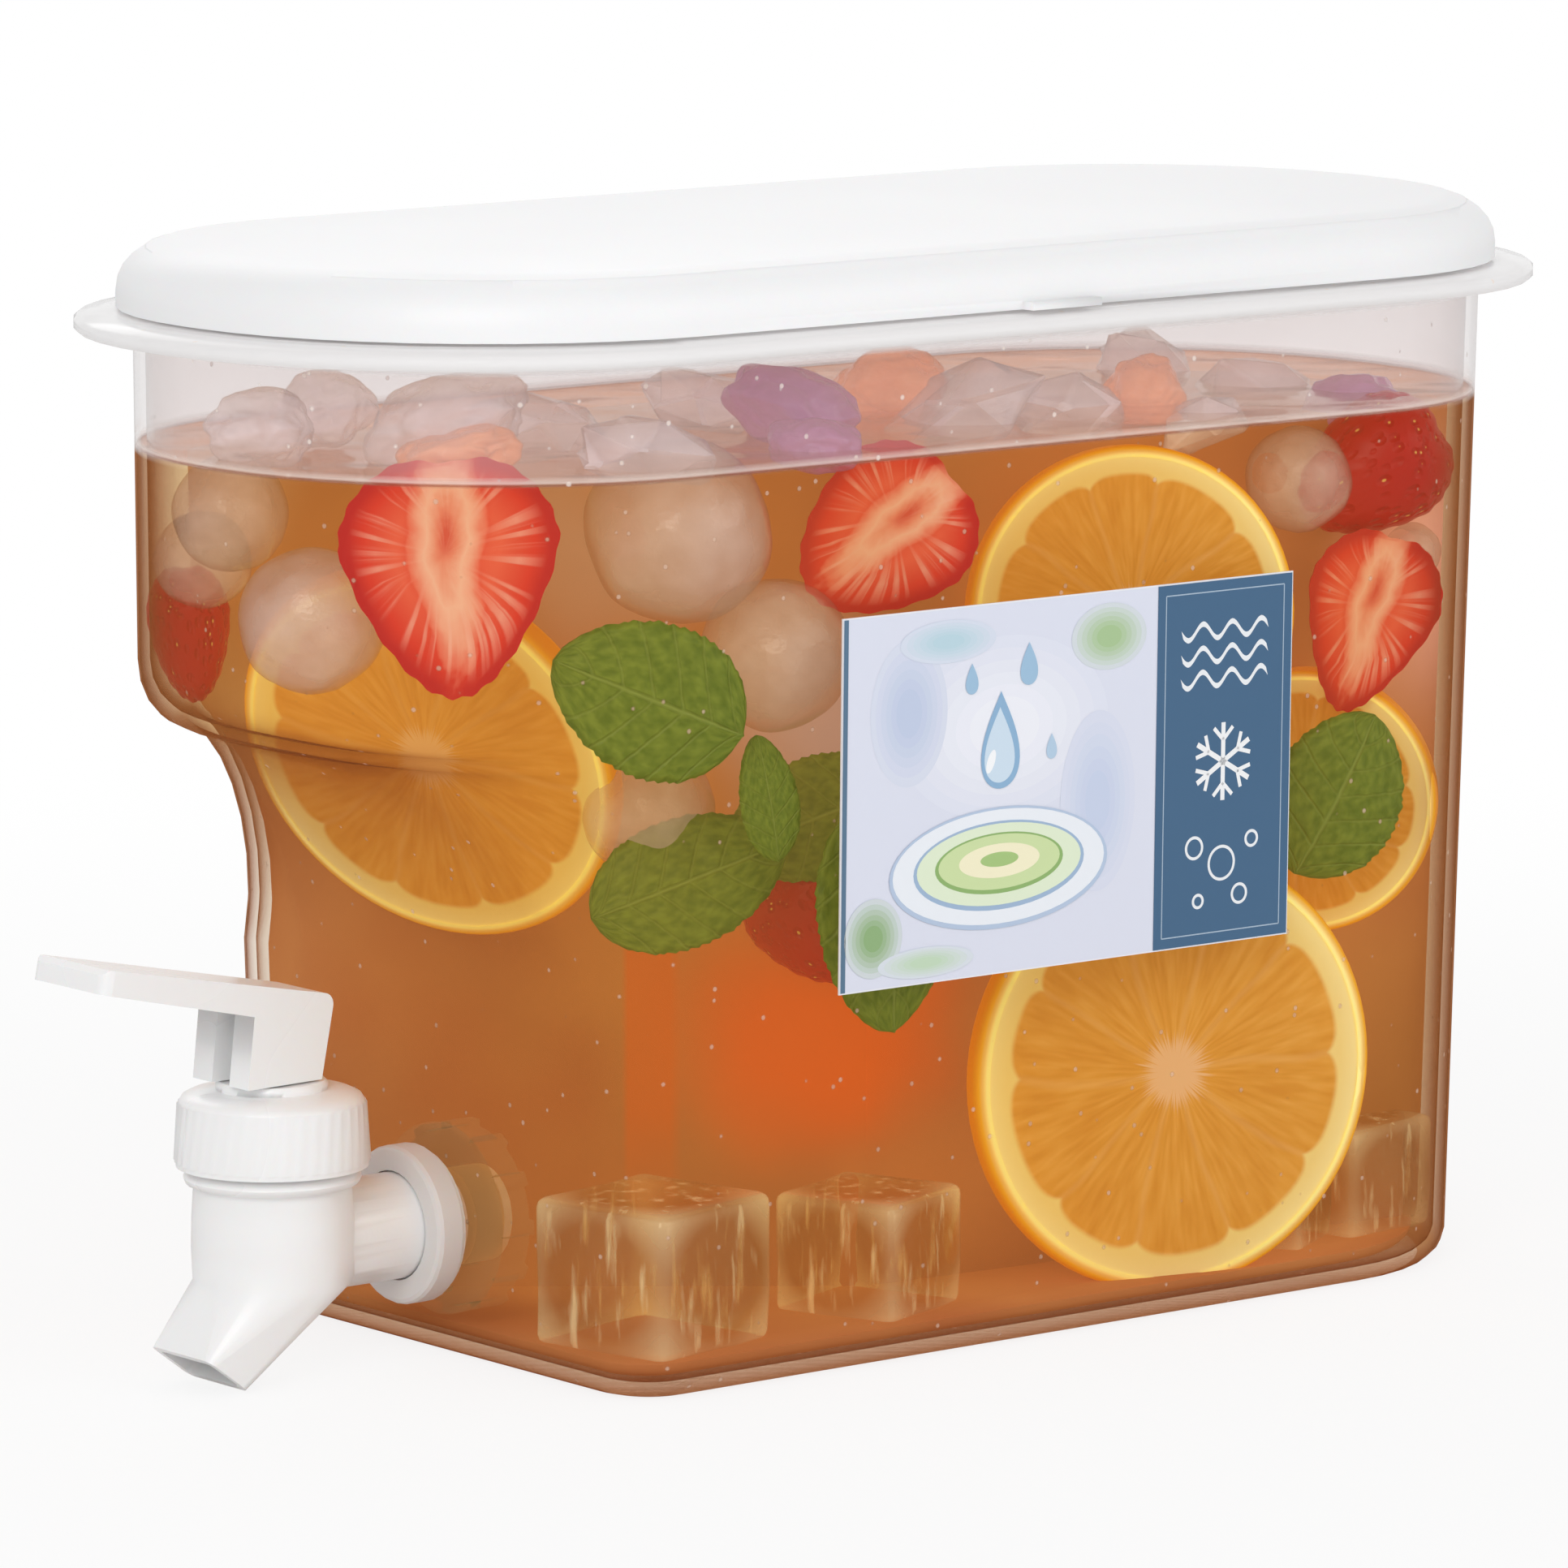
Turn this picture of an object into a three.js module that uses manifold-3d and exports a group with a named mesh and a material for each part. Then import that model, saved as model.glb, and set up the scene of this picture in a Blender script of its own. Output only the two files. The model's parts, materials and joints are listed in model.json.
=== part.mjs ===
// Fridge water jug with a lift-off lid and a lever tap.
// Millimetres, +Z up, the tap at the -X end, the label on the -Y side.
// The origin is on the underside of the base, below the middle of the rim.

import * as THREE from 'three';
import { mergeVertices } from 'three/addons/utils/BufferGeometryUtils.js';
import Module from 'manifold-3d';

const wasm = await Module();
wasm.setup();

// Fits
const seatGap = 0.3; // between pieces that rest on or fit in each other
const overrun = 2; // how far a cutting solid runs past the face that it opens

// Tank
const tankLength = 249.5; // outside the walls, at the rim
const tankWidth = 116.6; // outside the walls, at the rim
const tankHeight = 170.5; // base to the top of the rim flange
const tankWall = 2;
const tankFloor = 2.4;
const sideLean = 2.6; // how far each long wall leans in from rim to base
const rearLean = 6.5; // how far the rear end leans in from rim to base
const endDepth = 52; // length of each rounded end at the rim
const baseEndDepth = 45; // length of the rounded rear end at the base
const endFlat = 4; // width of the flat middle of a rounded end
const baseFillet = 4.5;

// Flat lower front, with the hollow shoulder and the belly above it
const frontSetback = 42.1; // the flat front stands this far behind the front of the rim
const frontLean = 1.5; // how far the flat front leans out over its height
const frontHeight = 62; // height of the flat front
const frontCorner = 12; // radius of its upright corners
const shoulderRadius = 44;
const shoulderSweep = THREE.MathUtils.degToRad(65);
const creaseCornerDepth = 34; // the front corners' size where shoulder and belly meet
const creaseCornerWidth = 50;
const bellyRise = 12; // height over which the belly rounds into the upper wall

// Rim: a flange outside the wall, and an upstand above it that the lid grips
const flangeReach = 10.3; // past the wall at the two ends
const flangeSideReach = 5.8; // past the long walls
const flangeSkirt = 3.2; // height of the flange's outer edge
const flangePlate = 1.5;
const flangeFall = 0.6; // how far its top falls to the outer edge
const flangeRound = 0.7;
const upstandHeight = 4;

// Lid
const lidHeight = 10.4; // skirt's lower edge to the flat top
const lidFloat = 0.6; // skirt's lower edge above the flange
const lidWall = 1.9;
const lidEndGap = 1.1; // between skirt and upstand at the two ends
const lidShoulderRun = 9.5; // how far the rounded shoulder reaches in
const lidShoulderRise = 8.2;
const plugWall = 1.5; // the ring that goes down inside the upstand
const plugDepth = 7;
const tabWidth = 14.5;
const tabReach = 2.6;
const tabThickness = 1.3;

// Label
const labelLength = 95.7;
const labelHeight = 61;
const labelThickness = 0.3;
const labelBehind = 5.4; // its middle lies this far behind the middle of the rim
const labelBottom = 62.6;

// Tap body
const tapHeight = 22; // shank axis above the base
const tapReach = 30.7; // flat front to the valve axis
const barrelRadius = 12.8;
const barrelSwell = 0.45;
const beadRadius = 14.4;
const beadHeight = 2.7;
const beadDrop = 0.5; // gap of plain neck between bead and collar
const neckRadius = 12.3;
const shankRadius = 8.75;
const threadRadius = 8;
const shankBore = 4.6;
const chamberRadius = 9;
const chamberRise = 7; // top of the narrow chamber above the shank axis
const upperChamberRadius = 10.9;
const seatDrop = 4.8; // valve seat below the shank axis
const throatRadius = 5.2;
const throatDepth = 2;

// Spout, which leans forward from the foot of the barrel and turns square
const kneeDrop = 5.8; // foot of the barrel below the shank axis
const spoutReach = 14.7; // middle of the mouth ahead of the valve axis
const spoutDrop = 18.65; // middle of the mouth below the shank axis
const mouthTilt = THREE.MathUtils.degToRad(37);
const mouthDepth = 9.8;
const mouthWidth = 16.8;
const mouthCorner = 1.8;
const spoutWall = 1.4;

// Rings that clamp the shank in the tank wall
const washerRadius = 13.05;
const washerThickness = 4.6;
const washerRound = 0.9; // bevel round its front face
const washerRecess = 0.8; // how far the shank's shoulder goes into its front face
const sealRadius = 12.3;
const outerSealThickness = 0.8;
const innerSealThickness = 1.5;
const nutThickness = 6;
const nutRadius = 15.8;
const nutRibHeight = 1.2;
const nutRibs = 12;
const shankProud = 1.4; // threaded end past the nut

// Collar nut over the valve
const collarRise = 13; // lower edge above the shank axis
const collarSkirt = 10.6; // height of the ribbed skirt
const collarRadius = 15.9;
const collarTaper = 0.6; // how much narrower it is at the top of the ribs
const collarRibDepth = 0.35;
const collarRibs = 40;
const collarPlain = 0.6; // plain band below the ribs
const collarCrown = 1.9; // height of the rounded crown above the skirt
const bossRadius = 9.1;
const bossHeight = 1.4;
const bossRound = 0.5;
const collarRoof = 4.3; // thickness between the hollow and the boss's flat top

// Rubber seat cup, stem and return spring
const cupWall = 1.2;
const cupPlugRadius = 7;
const cupPlugHeight = 2.8;
const cupWaistRadius = 8.2;
const cupWaistRise = 9; // above the shank axis
const cupRim = 1.5;
const stemRadius = 2.1; // also half the width of its tongue
const stemFootRadius = 5;
const stemFootHeight = 3.4;
const springWire = 1;
const springRadius = 4; // to the middle of the wire
const springTurns = 7;

// Lever
const pivotRise = 6.8; // pivot above the collar's flat top
const leverSlope = THREE.MathUtils.degToRad(11.3);
const leverThickness = 5; // over the cheeks
const leverTipThickness = 4;
const leverTop = 8.5; // top face from the pivot, square to the lever
const leverFront = 41.4; // front end from the pivot, along the lever
const leverRear = 6.4; // rear end from the pivot, along the lever
const leverFrontWidth = 19.8;
const leverRearWidth = 12.8;
const leverRound = 2;
const cheekFront = 9.6; // front edge of the cheeks from the pivot, below the paddle
const footSetback = 1; // how far behind that the cheeks' feet start
const tongueRadius = 3.6;
const trunnionRadius = 1.6;
const trunnionReach = 1.9; // into each cheek

// How finely round shapes are cut
const quarterSteps = 11; // points on each quarter of the tank's plan
const turnSteps = 32; // points round a turned piece
const sectionQuarterSteps = 8; // points on each corner of a spout section

const upright = new THREE.Vector3(0, 0, 1);
const alongX = new THREE.Quaternion().setFromUnitVectors(upright, new THREE.Vector3(1, 0, 0));
const lerp = THREE.MathUtils.lerp;

// Solids

// A closed solid that joins rings of equally many points, from the first ring up to the last.
// Each ring runs anticlockwise, seen from the end of the solid.
function loft(rings) {
  const count = rings[0].length;
  const positions = [];
  const indices = [];
  for (const ring of rings) {
    for (const point of ring) positions.push(point.x, point.y, point.z);
  }
  for (let level = 0; level + 1 < rings.length; level += 1) {
    for (let k = 0; k < count; k += 1) {
      const a = level * count + k;
      const b = level * count + ((k + 1) % count);
      indices.push(a, b, b + count, a, b + count, a + count);
    }
  }
  for (const level of [0, rings.length - 1]) {
    const middle = new THREE.Vector3();
    for (const point of rings[level]) middle.addScaledVector(point, 1 / count);
    const hub = positions.length / 3;
    positions.push(middle.x, middle.y, middle.z);
    for (let k = 0; k < count; k += 1) {
      const a = level * count + k;
      const b = level * count + ((k + 1) % count);
      if (level === 0) indices.push(hub, b, a);
      else indices.push(hub, a, b);
    }
  }
  const geometry = new THREE.BufferGeometry();
  geometry.setAttribute('position', new THREE.Float32BufferAttribute(positions, 3));
  geometry.setIndex(indices);
  return geometry;
}

// A solid turned about +Z from (radius, height) pairs that go up its outside.
function turned(profile, steps = turnSteps) {
  return new THREE.LatheGeometry(profile.map(([r, z]) => new THREE.Vector2(r, z)), steps)
    .rotateX(Math.PI / 2);
}

// A turned ring or tube, from an outline that closes on itself.
function turnedRing(inner, outer, low, high, steps = turnSteps) {
  return turned([[inner, low], [outer, low], [outer, high], [inner, high], [inner, low]], steps);
}

// Moves a piece that is turned about +Z so that its axis is the shank's.
function onShank(geometry) {
  return geometry.applyQuaternion(alongX).translate(0, 0, tapHeight);
}

function solid(geometry) {
  const bare = geometry.clone();
  bare.deleteAttribute('normal');
  if (bare.hasAttribute('uv')) bare.deleteAttribute('uv');
  const merged = mergeVertices(bare, 1e-4);
  return new wasm.Manifold(new wasm.Mesh({
    numProp: 3,
    vertProperties: Float32Array.from(merged.attributes.position.array),
    triVerts: Uint32Array.from(merged.index.array),
  }));
}

function surface(manifold) {
  const mesh = manifold.getMesh();
  const geometry = new THREE.BufferGeometry();
  geometry.setAttribute('position', new THREE.BufferAttribute(mesh.vertProperties, mesh.numProp));
  geometry.setIndex(new THREE.BufferAttribute(mesh.triVerts, 1));
  return geometry;
}

// The jug's plan at one height

// Straight sides, an elliptical rear end, and a front with two elliptical corners.
function plan({ front, rear, half, rearDepth, cornerDepth, cornerWidth }, z) {
  const points = [];
  const arc = (centreX, centreY, radiusX, radiusY, from) => {
    for (let k = 0; k <= quarterSteps; k += 1) {
      const angle = from + (k / quarterSteps) * (Math.PI / 2);
      const x = centreX + radiusX * Math.cos(angle);
      points.push(new THREE.Vector3(x, centreY + radiusY * Math.sin(angle), z));
    }
  };
  const rearWidth = half - endFlat / 2;
  arc(rear - rearDepth, -endFlat / 2, rearDepth, rearWidth, -Math.PI / 2);
  arc(rear - rearDepth, endFlat / 2, rearDepth, rearWidth, 0);
  arc(front + cornerDepth, half - cornerWidth, cornerDepth, cornerWidth, Math.PI / 2);
  arc(front + cornerDepth, cornerWidth - half, cornerDepth, cornerWidth, Math.PI);
  return points;
}

// A plan with the same rounded end at the front as at the rear.
function oval(halfLength, half, depth, z) {
  const cornerWidth = half - endFlat / 2;
  return plan({
    front: -halfLength, rear: halfLength, half, rearDepth: depth, cornerDepth: depth, cornerWidth,
  }, z);
}

// Tank

const rimFrontX = -tankLength / 2;
const frontX = rimFrontX + frontSetback; // flat front at the base
const frontTopX = frontX - frontLean;
const shoulderRun = shoulderRadius * (1 - Math.cos(shoulderSweep));
const creaseX = frontTopX - shoulderRun;
const creaseZ = frontHeight + shoulderRadius * Math.sin(shoulderSweep);
const bellyTopZ = creaseZ + bellyRise;

const halfWidthAt = (z) => tankWidth / 2 - sideLean * (1 - Math.min(z / tankHeight, 1));
const frontXAt = (z) => lerp(frontX, frontTopX, z / frontHeight);

// The plan's sizes at a height, for the outer skin (skin = 0) or the inner one (skin = tankWall).
function tankPlan(z, front, cornerDepth, cornerWidth, skin, inset = 0) {
  const share = Math.min(z / tankHeight, 1);
  const shrink = skin + inset;
  return plan({
    front: front + shrink,
    rear: tankLength / 2 - rearLean * (1 - share) - shrink,
    half: halfWidthAt(z) - shrink,
    rearDepth: lerp(baseEndDepth, endDepth, share) - shrink,
    cornerDepth: cornerDepth - shrink,
    cornerWidth: cornerWidth - shrink,
  }, z);
}

function tankRings(skin, bottomZ, topZ) {
  const rings = [];
  const fillet = baseFillet - skin;
  const filletSteps = 3;
  for (let k = 0; k <= filletSteps; k += 1) {
    const angle = (k / filletSteps) * (Math.PI / 2);
    const z = bottomZ + fillet * (1 - Math.cos(angle));
    const inset = fillet * (1 - Math.sin(angle));
    rings.push(tankPlan(z, frontXAt(z), frontCorner, frontCorner, skin, inset));
  }
  const shoulderSteps = 7;
  for (let k = 0; k <= shoulderSteps; k += 1) {
    const angle = (k / shoulderSteps) * shoulderSweep;
    const radius = shoulderRadius + skin;
    const z = frontHeight + radius * Math.sin(angle);
    const front = frontTopX + skin - radius * (1 - Math.cos(angle)) - skin;
    const share = (1 - Math.cos(angle)) / (1 - Math.cos(shoulderSweep));
    const depth = lerp(frontCorner, creaseCornerDepth, share);
    const width = lerp(frontCorner, creaseCornerWidth, Math.sqrt(share));
    rings.push(tankPlan(z, front, depth, width, skin));
  }
  const bellySteps = 5;
  const crease = rings[rings.length - 1][0].z;
  for (let k = 1; k <= bellySteps; k += 1) {
    const angle = (k / bellySteps) * (Math.PI / 2);
    const z = lerp(crease, bellyTopZ, 1 - Math.cos(angle));
    const share = Math.sin(angle);
    const depth = lerp(creaseCornerDepth, endDepth, share);
    const width = lerp(creaseCornerWidth, halfWidthAt(z) - endFlat / 2, share);
    rings.push(tankPlan(z, lerp(creaseX, rimFrontX, share), depth, width, skin));
  }
  // the walls lean out up to the rim, and the upstand above it is upright
  const width = tankWidth / 2 - endFlat / 2;
  rings.push(tankPlan(tankHeight, rimFrontX, endDepth, width, skin));
  rings.push(tankPlan(topZ, rimFrontX, endDepth, width, skin));
  return rings;
}

const flangeHalfLength = tankLength / 2 + flangeReach;
const flangeHalfWidth = tankWidth / 2 + flangeSideReach;
const flangeDepth = endDepth + flangeSideReach;

function flangeRing(inset, z) {
  return oval(flangeHalfLength - inset, flangeHalfWidth - inset, flangeDepth - inset, z);
}

function makeTank() {
  const upstandTop = tankHeight + upstandHeight;
  const outside = solid(loft(tankRings(0, 0, upstandTop)));
  const inside = solid(loft(tankRings(tankWall, tankFloor, upstandTop + overrun)));
  const edgeTop = tankHeight - flangeFall;
  const edgeBottom = edgeTop - flangeSkirt + flangeFall;
  const flange = solid(loft([
    flangeRing(flangeRound, edgeBottom),
    flangeRing(0, edgeBottom + flangeRound),
    flangeRing(0, edgeTop - flangeRound),
    flangeRing(flangeRound, edgeTop),
    flangeRing(flangeSideReach, tankHeight),
  ]));
  const underside = solid(loft([
    flangeRing(flangePlate, edgeBottom - overrun),
    flangeRing(flangePlate, edgeTop - flangePlate),
  ]));
  const holeDepth = tankWall + frontLean + overrun;
  const hole = solid(onShank(turned([
    [0, frontX - holeDepth],
    [threadRadius + seatGap, frontX - holeDepth],
    [threadRadius + seatGap, frontX + holeDepth],
    [0, frontX + holeDepth],
  ])));
  return surface(outside.add(flange.subtract(underside)).subtract(inside).subtract(hole));
}

// Lid

const lidBottom = tankHeight + lidFloat;
const lidTop = lidBottom + lidHeight;
const lidHalfWidth = tankWidth / 2 + seatGap + lidWall;
const lidHalfLength = tankLength / 2 + lidEndGap + lidWall;
const lidDepth = endDepth + lidEndGap + lidWall;

const lidRing = (inset, z) => oval(lidHalfLength - inset, lidHalfWidth - inset, lidDepth - inset, z);

// The lid's skin, and the same skin set in by the wall for its hollow.
function lidRings(inset, bottomZ) {
  const rings = [lidRing(inset, bottomZ)];
  const springZ = lidTop - lidShoulderRise;
  const steps = 6;
  for (let k = 0; k <= steps; k += 1) {
    const angle = (k / steps) * (Math.PI / 2);
    const run = (lidShoulderRun - inset) * (1 - Math.cos(angle));
    rings.push(lidRing(inset + run, springZ + (lidShoulderRise - inset) * Math.sin(angle)));
  }
  return rings;
}

function makeLid() {
  const ceiling = lidTop - lidWall;
  const shell = solid(loft(lidRings(0, lidBottom)));
  const hollow = solid(loft(lidRings(lidWall, lidBottom - overrun)));
  const plugBottom = tankHeight + upstandHeight - plugDepth;
  const plugInset = tankWall + seatGap;
  const plugRing = (inset, z) => {
    const shrink = plugInset + inset;
    return oval(tankLength / 2 - shrink, tankWidth / 2 - shrink, endDepth - shrink, z);
  };
  const plug = solid(loft([plugRing(0, plugBottom), plugRing(0, ceiling + lidWall / 2)]));
  const plugBore = solid(loft([
    plugRing(plugWall, plugBottom - overrun),
    plugRing(plugWall, ceiling),
  ]));
  const tabLength = tabReach + lidWall;
  const tab = solid(new THREE.BoxGeometry(tabWidth, tabLength, tabThickness).translate(
    0, tabLength / 2 - lidHalfWidth - tabReach, lidBottom + tabThickness / 2,
  ));
  return surface(shell.subtract(hollow).add(plug.subtract(plugBore)).add(tab));
}

// Label

function makeLabel() {
  const middle = labelBottom + labelHeight / 2;
  const lean = Math.atan(sideLean / tankHeight);
  return new THREE.BoxGeometry(labelLength, labelThickness, labelHeight)
    .rotateX(lean)
    .translate(labelBehind, -halfWidthAt(middle) - seatGap - labelThickness / 2, middle);
}

// Tap body

const valveX = frontX - tapReach;
const seatZ = tapHeight - seatDrop;
const collarBottom = tapHeight + collarRise;
const collarTop = collarBottom + collarSkirt + collarCrown + bossHeight;
const roofZ = collarTop - collarRoof;
const cupRimZ = roofZ - seatGap - cupRim;
const neckTop = cupRimZ - seatGap;

// A rounded rectangle, or a circle where the corner is as large as its halves.
function section(centreX, centreZ, tilt, halfDepth, halfWidth, corner) {
  const points = [];
  for (let quarter = 0; quarter < 4; quarter += 1) {
    const signX = quarter === 0 || quarter === 3 ? 1 : -1;
    const signY = quarter < 2 ? 1 : -1;
    for (let k = 0; k < sectionQuarterSteps; k += 1) {
      const angle = (quarter + (k + 0.5) / sectionQuarterSteps) * (Math.PI / 2);
      const x = signX * (halfDepth - corner) + corner * Math.cos(angle);
      const y = signY * (halfWidth - corner) + corner * Math.sin(angle);
      const dx = x * Math.cos(tilt);
      points.push(new THREE.Vector3(centreX + dx, y, centreZ - x * Math.sin(tilt)));
    }
  }
  return points;
}

const disc = (radius, z) => section(valveX, z, 0, radius, radius, radius);

// The spout's section at its mouth, for the outer skin (skin = 0) or the inner one.
function mouthRing(skin) {
  const halfDepth = mouthDepth / 2 - skin;
  const halfWidth = mouthWidth / 2 - skin;
  const centreX = valveX - spoutReach;
  const centreZ = tapHeight - spoutDrop;
  const corner = skin === 0 ? mouthCorner : mouthCorner / 2;
  return section(centreX, centreZ, mouthTilt, halfDepth, halfWidth, corner);
}

// A copy of the mouth's section, moved out of the mouth.
function pastMouth(ring) {
  const out = new THREE.Vector3(-Math.sin(mouthTilt), 0, -Math.cos(mouthTilt));
  return ring.map((point) => point.clone().addScaledVector(out, overrun));
}

const outerSealX = frontXAt(tapHeight + sealRadius) - seatGap - outerSealThickness;
const washerBack = outerSealX - seatGap;
const washerFront = washerBack - washerThickness;
const shankStop = washerFront + washerRecess; // the shank's shoulder, which presses on the washer
const innerFaceX = frontX + tankWall;
const innerSealX = innerFaceX + seatGap;
const nutX = innerSealX + innerSealThickness + seatGap;
const shankEnd = nutX + nutThickness + shankProud;

function makeTapBody() {
  const beadTop = collarBottom - beadDrop;
  const beadMiddle = beadTop - beadHeight / 2;
  const beadBottom = beadTop - beadHeight;
  const kneeZ = tapHeight - kneeDrop;
  const rings = [mouthRing(0), disc(barrelRadius + barrelSwell / 2, kneeZ)];
  rings.push(disc(barrelRadius + barrelSwell, lerp(kneeZ, beadBottom, 1 / 3)));
  rings.push(disc(barrelRadius + barrelSwell * 3 / 4, lerp(kneeZ, beadBottom, 2 / 3)));
  rings.push(disc(barrelRadius, beadBottom));
  rings.push(disc(lerp(barrelRadius, beadRadius, 3 / 4), lerp(beadBottom, beadMiddle, 1 / 3)));
  rings.push(disc(beadRadius, beadMiddle));
  rings.push(disc(lerp(barrelRadius, beadRadius, 3 / 4), lerp(beadMiddle, beadTop, 2 / 3)));
  rings.push(disc(neckRadius, beadTop));
  rings.push(disc(neckRadius, neckTop));
  const outside = solid(loft(rings));

  const shankStart = valveX + chamberRadius / 2;
  const shank = solid(onShank(turned([
    [0, shankStart],
    [shankRadius, shankStart],
    [shankRadius, shankStop],
    [threadRadius, shankStop],
    [threadRadius, shankEnd],
    [0, shankEnd],
  ])));

  const chamber = solid(loft([
    disc(chamberRadius, seatZ),
    disc(chamberRadius, tapHeight + chamberRise),
    disc(upperChamberRadius, tapHeight + chamberRise + upperChamberRadius - chamberRadius),
    disc(upperChamberRadius, neckTop + overrun),
  ]));
  const mouth = mouthRing(spoutWall);
  const passage = solid(loft([
    pastMouth(mouth),
    mouth,
    disc(throatRadius, seatZ - throatDepth),
    disc(throatRadius, seatZ + overrun / 2),
  ]));
  const boreStart = valveX + Math.sqrt(chamberRadius ** 2 - shankBore ** 2) - overrun / 2;
  const bore = solid(onShank(turned([
    [0, boreStart],
    [shankBore, boreStart],
    [shankBore, shankEnd + overrun],
    [0, shankEnd + overrun],
  ])));
  return surface(outside.add(shank).subtract(chamber).subtract(passage).subtract(bore));
}

// Rings on the shank

const boreOfRing = threadRadius + seatGap;

function makeWasher() {
  return onShank(turned([
    [shankRadius + seatGap, washerFront],
    [washerRadius - washerRound, washerFront],
    [washerRadius - washerRound / 3, washerFront + washerRound / 3],
    [washerRadius, washerFront + washerRound],
    [washerRadius, washerBack],
    [boreOfRing, washerBack],
    [boreOfRing, shankStop + seatGap],
    [shankRadius + seatGap, shankStop + seatGap],
    [shankRadius + seatGap, washerFront],
  ]));
}

function makeOuterSeal() {
  const back = outerSealX + outerSealThickness;
  return onShank(turnedRing(boreOfRing, sealRadius, outerSealX, back));
}

function makeInnerSeal() {
  return onShank(turnedRing(boreOfRing, nutRadius, innerSealX, innerSealX + innerSealThickness));
}

function makeLockNut() {
  const body = solid(turnedRing(boreOfRing, nutRadius - nutRibHeight, nutX, nutX + nutThickness));
  const ribLength = 2 * nutRibHeight;
  const ribs = [];
  for (let k = 0; k < nutRibs; k += 1) {
    ribs.push(solid(new THREE.BoxGeometry(ribLength, ribLength, nutThickness)
      .translate(nutRadius - nutRibHeight, 0, nutX + nutThickness / 2)
      .rotateZ((k / nutRibs) * 2 * Math.PI)));
  }
  return onShank(surface(ribs.reduce((whole, rib) => whole.add(rib), body)));
}

// Collar nut

// A ring of the collar, with every other point set in by the ribs' depth.
function collarRing(radius, z, ribDepth = 0) {
  const ring = [];
  for (let k = 0; k < 2 * collarRibs; k += 1) {
    const angle = (k / collarRibs) * Math.PI;
    const r = radius - (k % 2) * ribDepth;
    ring.push(new THREE.Vector3(valveX + r * Math.cos(angle), r * Math.sin(angle), z));
  }
  return ring;
}

function makeCollar() {
  const crownStart = collarBottom + collarSkirt;
  const ribTopRadius = collarRadius - collarTaper;
  const crownRadius = ribTopRadius - collarRibDepth;
  const rings = [
    collarRing(collarRadius - collarRibDepth, collarBottom),
    collarRing(collarRadius - collarRibDepth, collarBottom + collarPlain),
    collarRing(collarRadius, collarBottom + collarPlain + collarRibDepth, collarRibDepth),
    collarRing(ribTopRadius, crownStart - collarRibDepth, collarRibDepth),
    collarRing(crownRadius, crownStart),
  ];
  const steps = 4;
  for (let k = 1; k <= steps; k += 1) {
    const angle = (k / steps) * (Math.PI / 2);
    const radius = lerp(bossRadius, crownRadius, Math.cos(angle));
    rings.push(collarRing(radius, crownStart + collarCrown * Math.sin(angle)));
  }
  rings.push(collarRing(bossRadius, collarTop - bossRound));
  rings.push(collarRing(bossRadius - bossRound, collarTop));
  const bore = solid(loft([
    disc(neckRadius + seatGap, collarBottom - overrun),
    disc(neckRadius + seatGap, roofZ),
  ]));
  const stemHole = solid(loft([
    disc(stemRadius + seatGap, roofZ - overrun),
    disc(stemRadius + seatGap, collarTop + overrun),
  ]));
  return surface(solid(loft(rings)).subtract(bore).subtract(stemHole));
}

// Seat cup: a rubber plug that closes the seat, with a bell up to a rim clamped under the collar.

const cupBottom = seatZ + seatGap;
const cupFloor = cupBottom + cupPlugHeight;

function makeSeatCup() {
  const waistZ = tapHeight + cupWaistRise;
  const bellRadius = upperChamberRadius - 2 * seatGap;
  const rimRadius = neckRadius;
  return turned([
    [0, cupBottom],
    [cupPlugRadius, cupBottom],
    [cupPlugRadius + cupWall / 2, cupFloor],
    [cupWaistRadius, waistZ],
    [bellRadius, cupRimZ - cupWall],
    [bellRadius, cupRimZ],
    [rimRadius, cupRimZ],
    [rimRadius, cupRimZ + cupRim],
    [bellRadius - cupWall, cupRimZ + cupRim],
    [bellRadius - cupWall, cupRimZ - cupWall],
    [cupWaistRadius - cupWall, waistZ],
    [cupPlugRadius - cupWall / 2, cupFloor],
    [0, cupFloor],
  ]).translate(valveX, 0, 0);
}

// Stem, with a flat tongue between the lever's cheeks and a stub into each of them

const pivotZ = collarTop + pivotRise;
const stemFootZ = cupFloor + seatGap;
const stemShoulderZ = stemFootZ + stemFootHeight;
const forkGap = 2 * (stemRadius + seatGap); // between the lever's two cheeks

function makeStem() {
  const tongueBottom = collarTop + 3 * seatGap;
  const tongueWidth = 2 * stemRadius;
  const rod = solid(turned([
    [0, stemFootZ],
    [stemFootRadius, stemFootZ],
    [stemFootRadius, stemShoulderZ],
    [stemRadius, stemShoulderZ],
    [stemRadius, tongueBottom + overrun],
    [0, tongueBottom + overrun],
  ], 24));
  const outline = new THREE.Shape();
  outline.moveTo(-tongueRadius, tongueBottom - pivotZ);
  outline.lineTo(tongueRadius, tongueBottom - pivotZ);
  outline.lineTo(tongueRadius, 0);
  outline.absarc(0, 0, tongueRadius, 0, Math.PI, false);
  outline.closePath();
  const tongue = solid(new THREE.ExtrudeGeometry(outline, {
    depth: tongueWidth, bevelEnabled: false, curveSegments: 8,
  }).translate(0, 0, -tongueWidth / 2).rotateX(Math.PI / 2).translate(0, 0, pivotZ));
  const stub = tongueWidth / 2 + seatGap + trunnionReach;
  const trunnions = solid(turned([
    [0, -stub], [trunnionRadius, -stub], [trunnionRadius, stub], [0, stub],
  ], 16).rotateX(Math.PI / 2).translate(0, 0, pivotZ));
  return surface(rod.add(tongue).add(trunnions)).translate(valveX, 0, 0);
}

// Return spring, coiled round the stem from its shoulder up to the collar's roof

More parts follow.
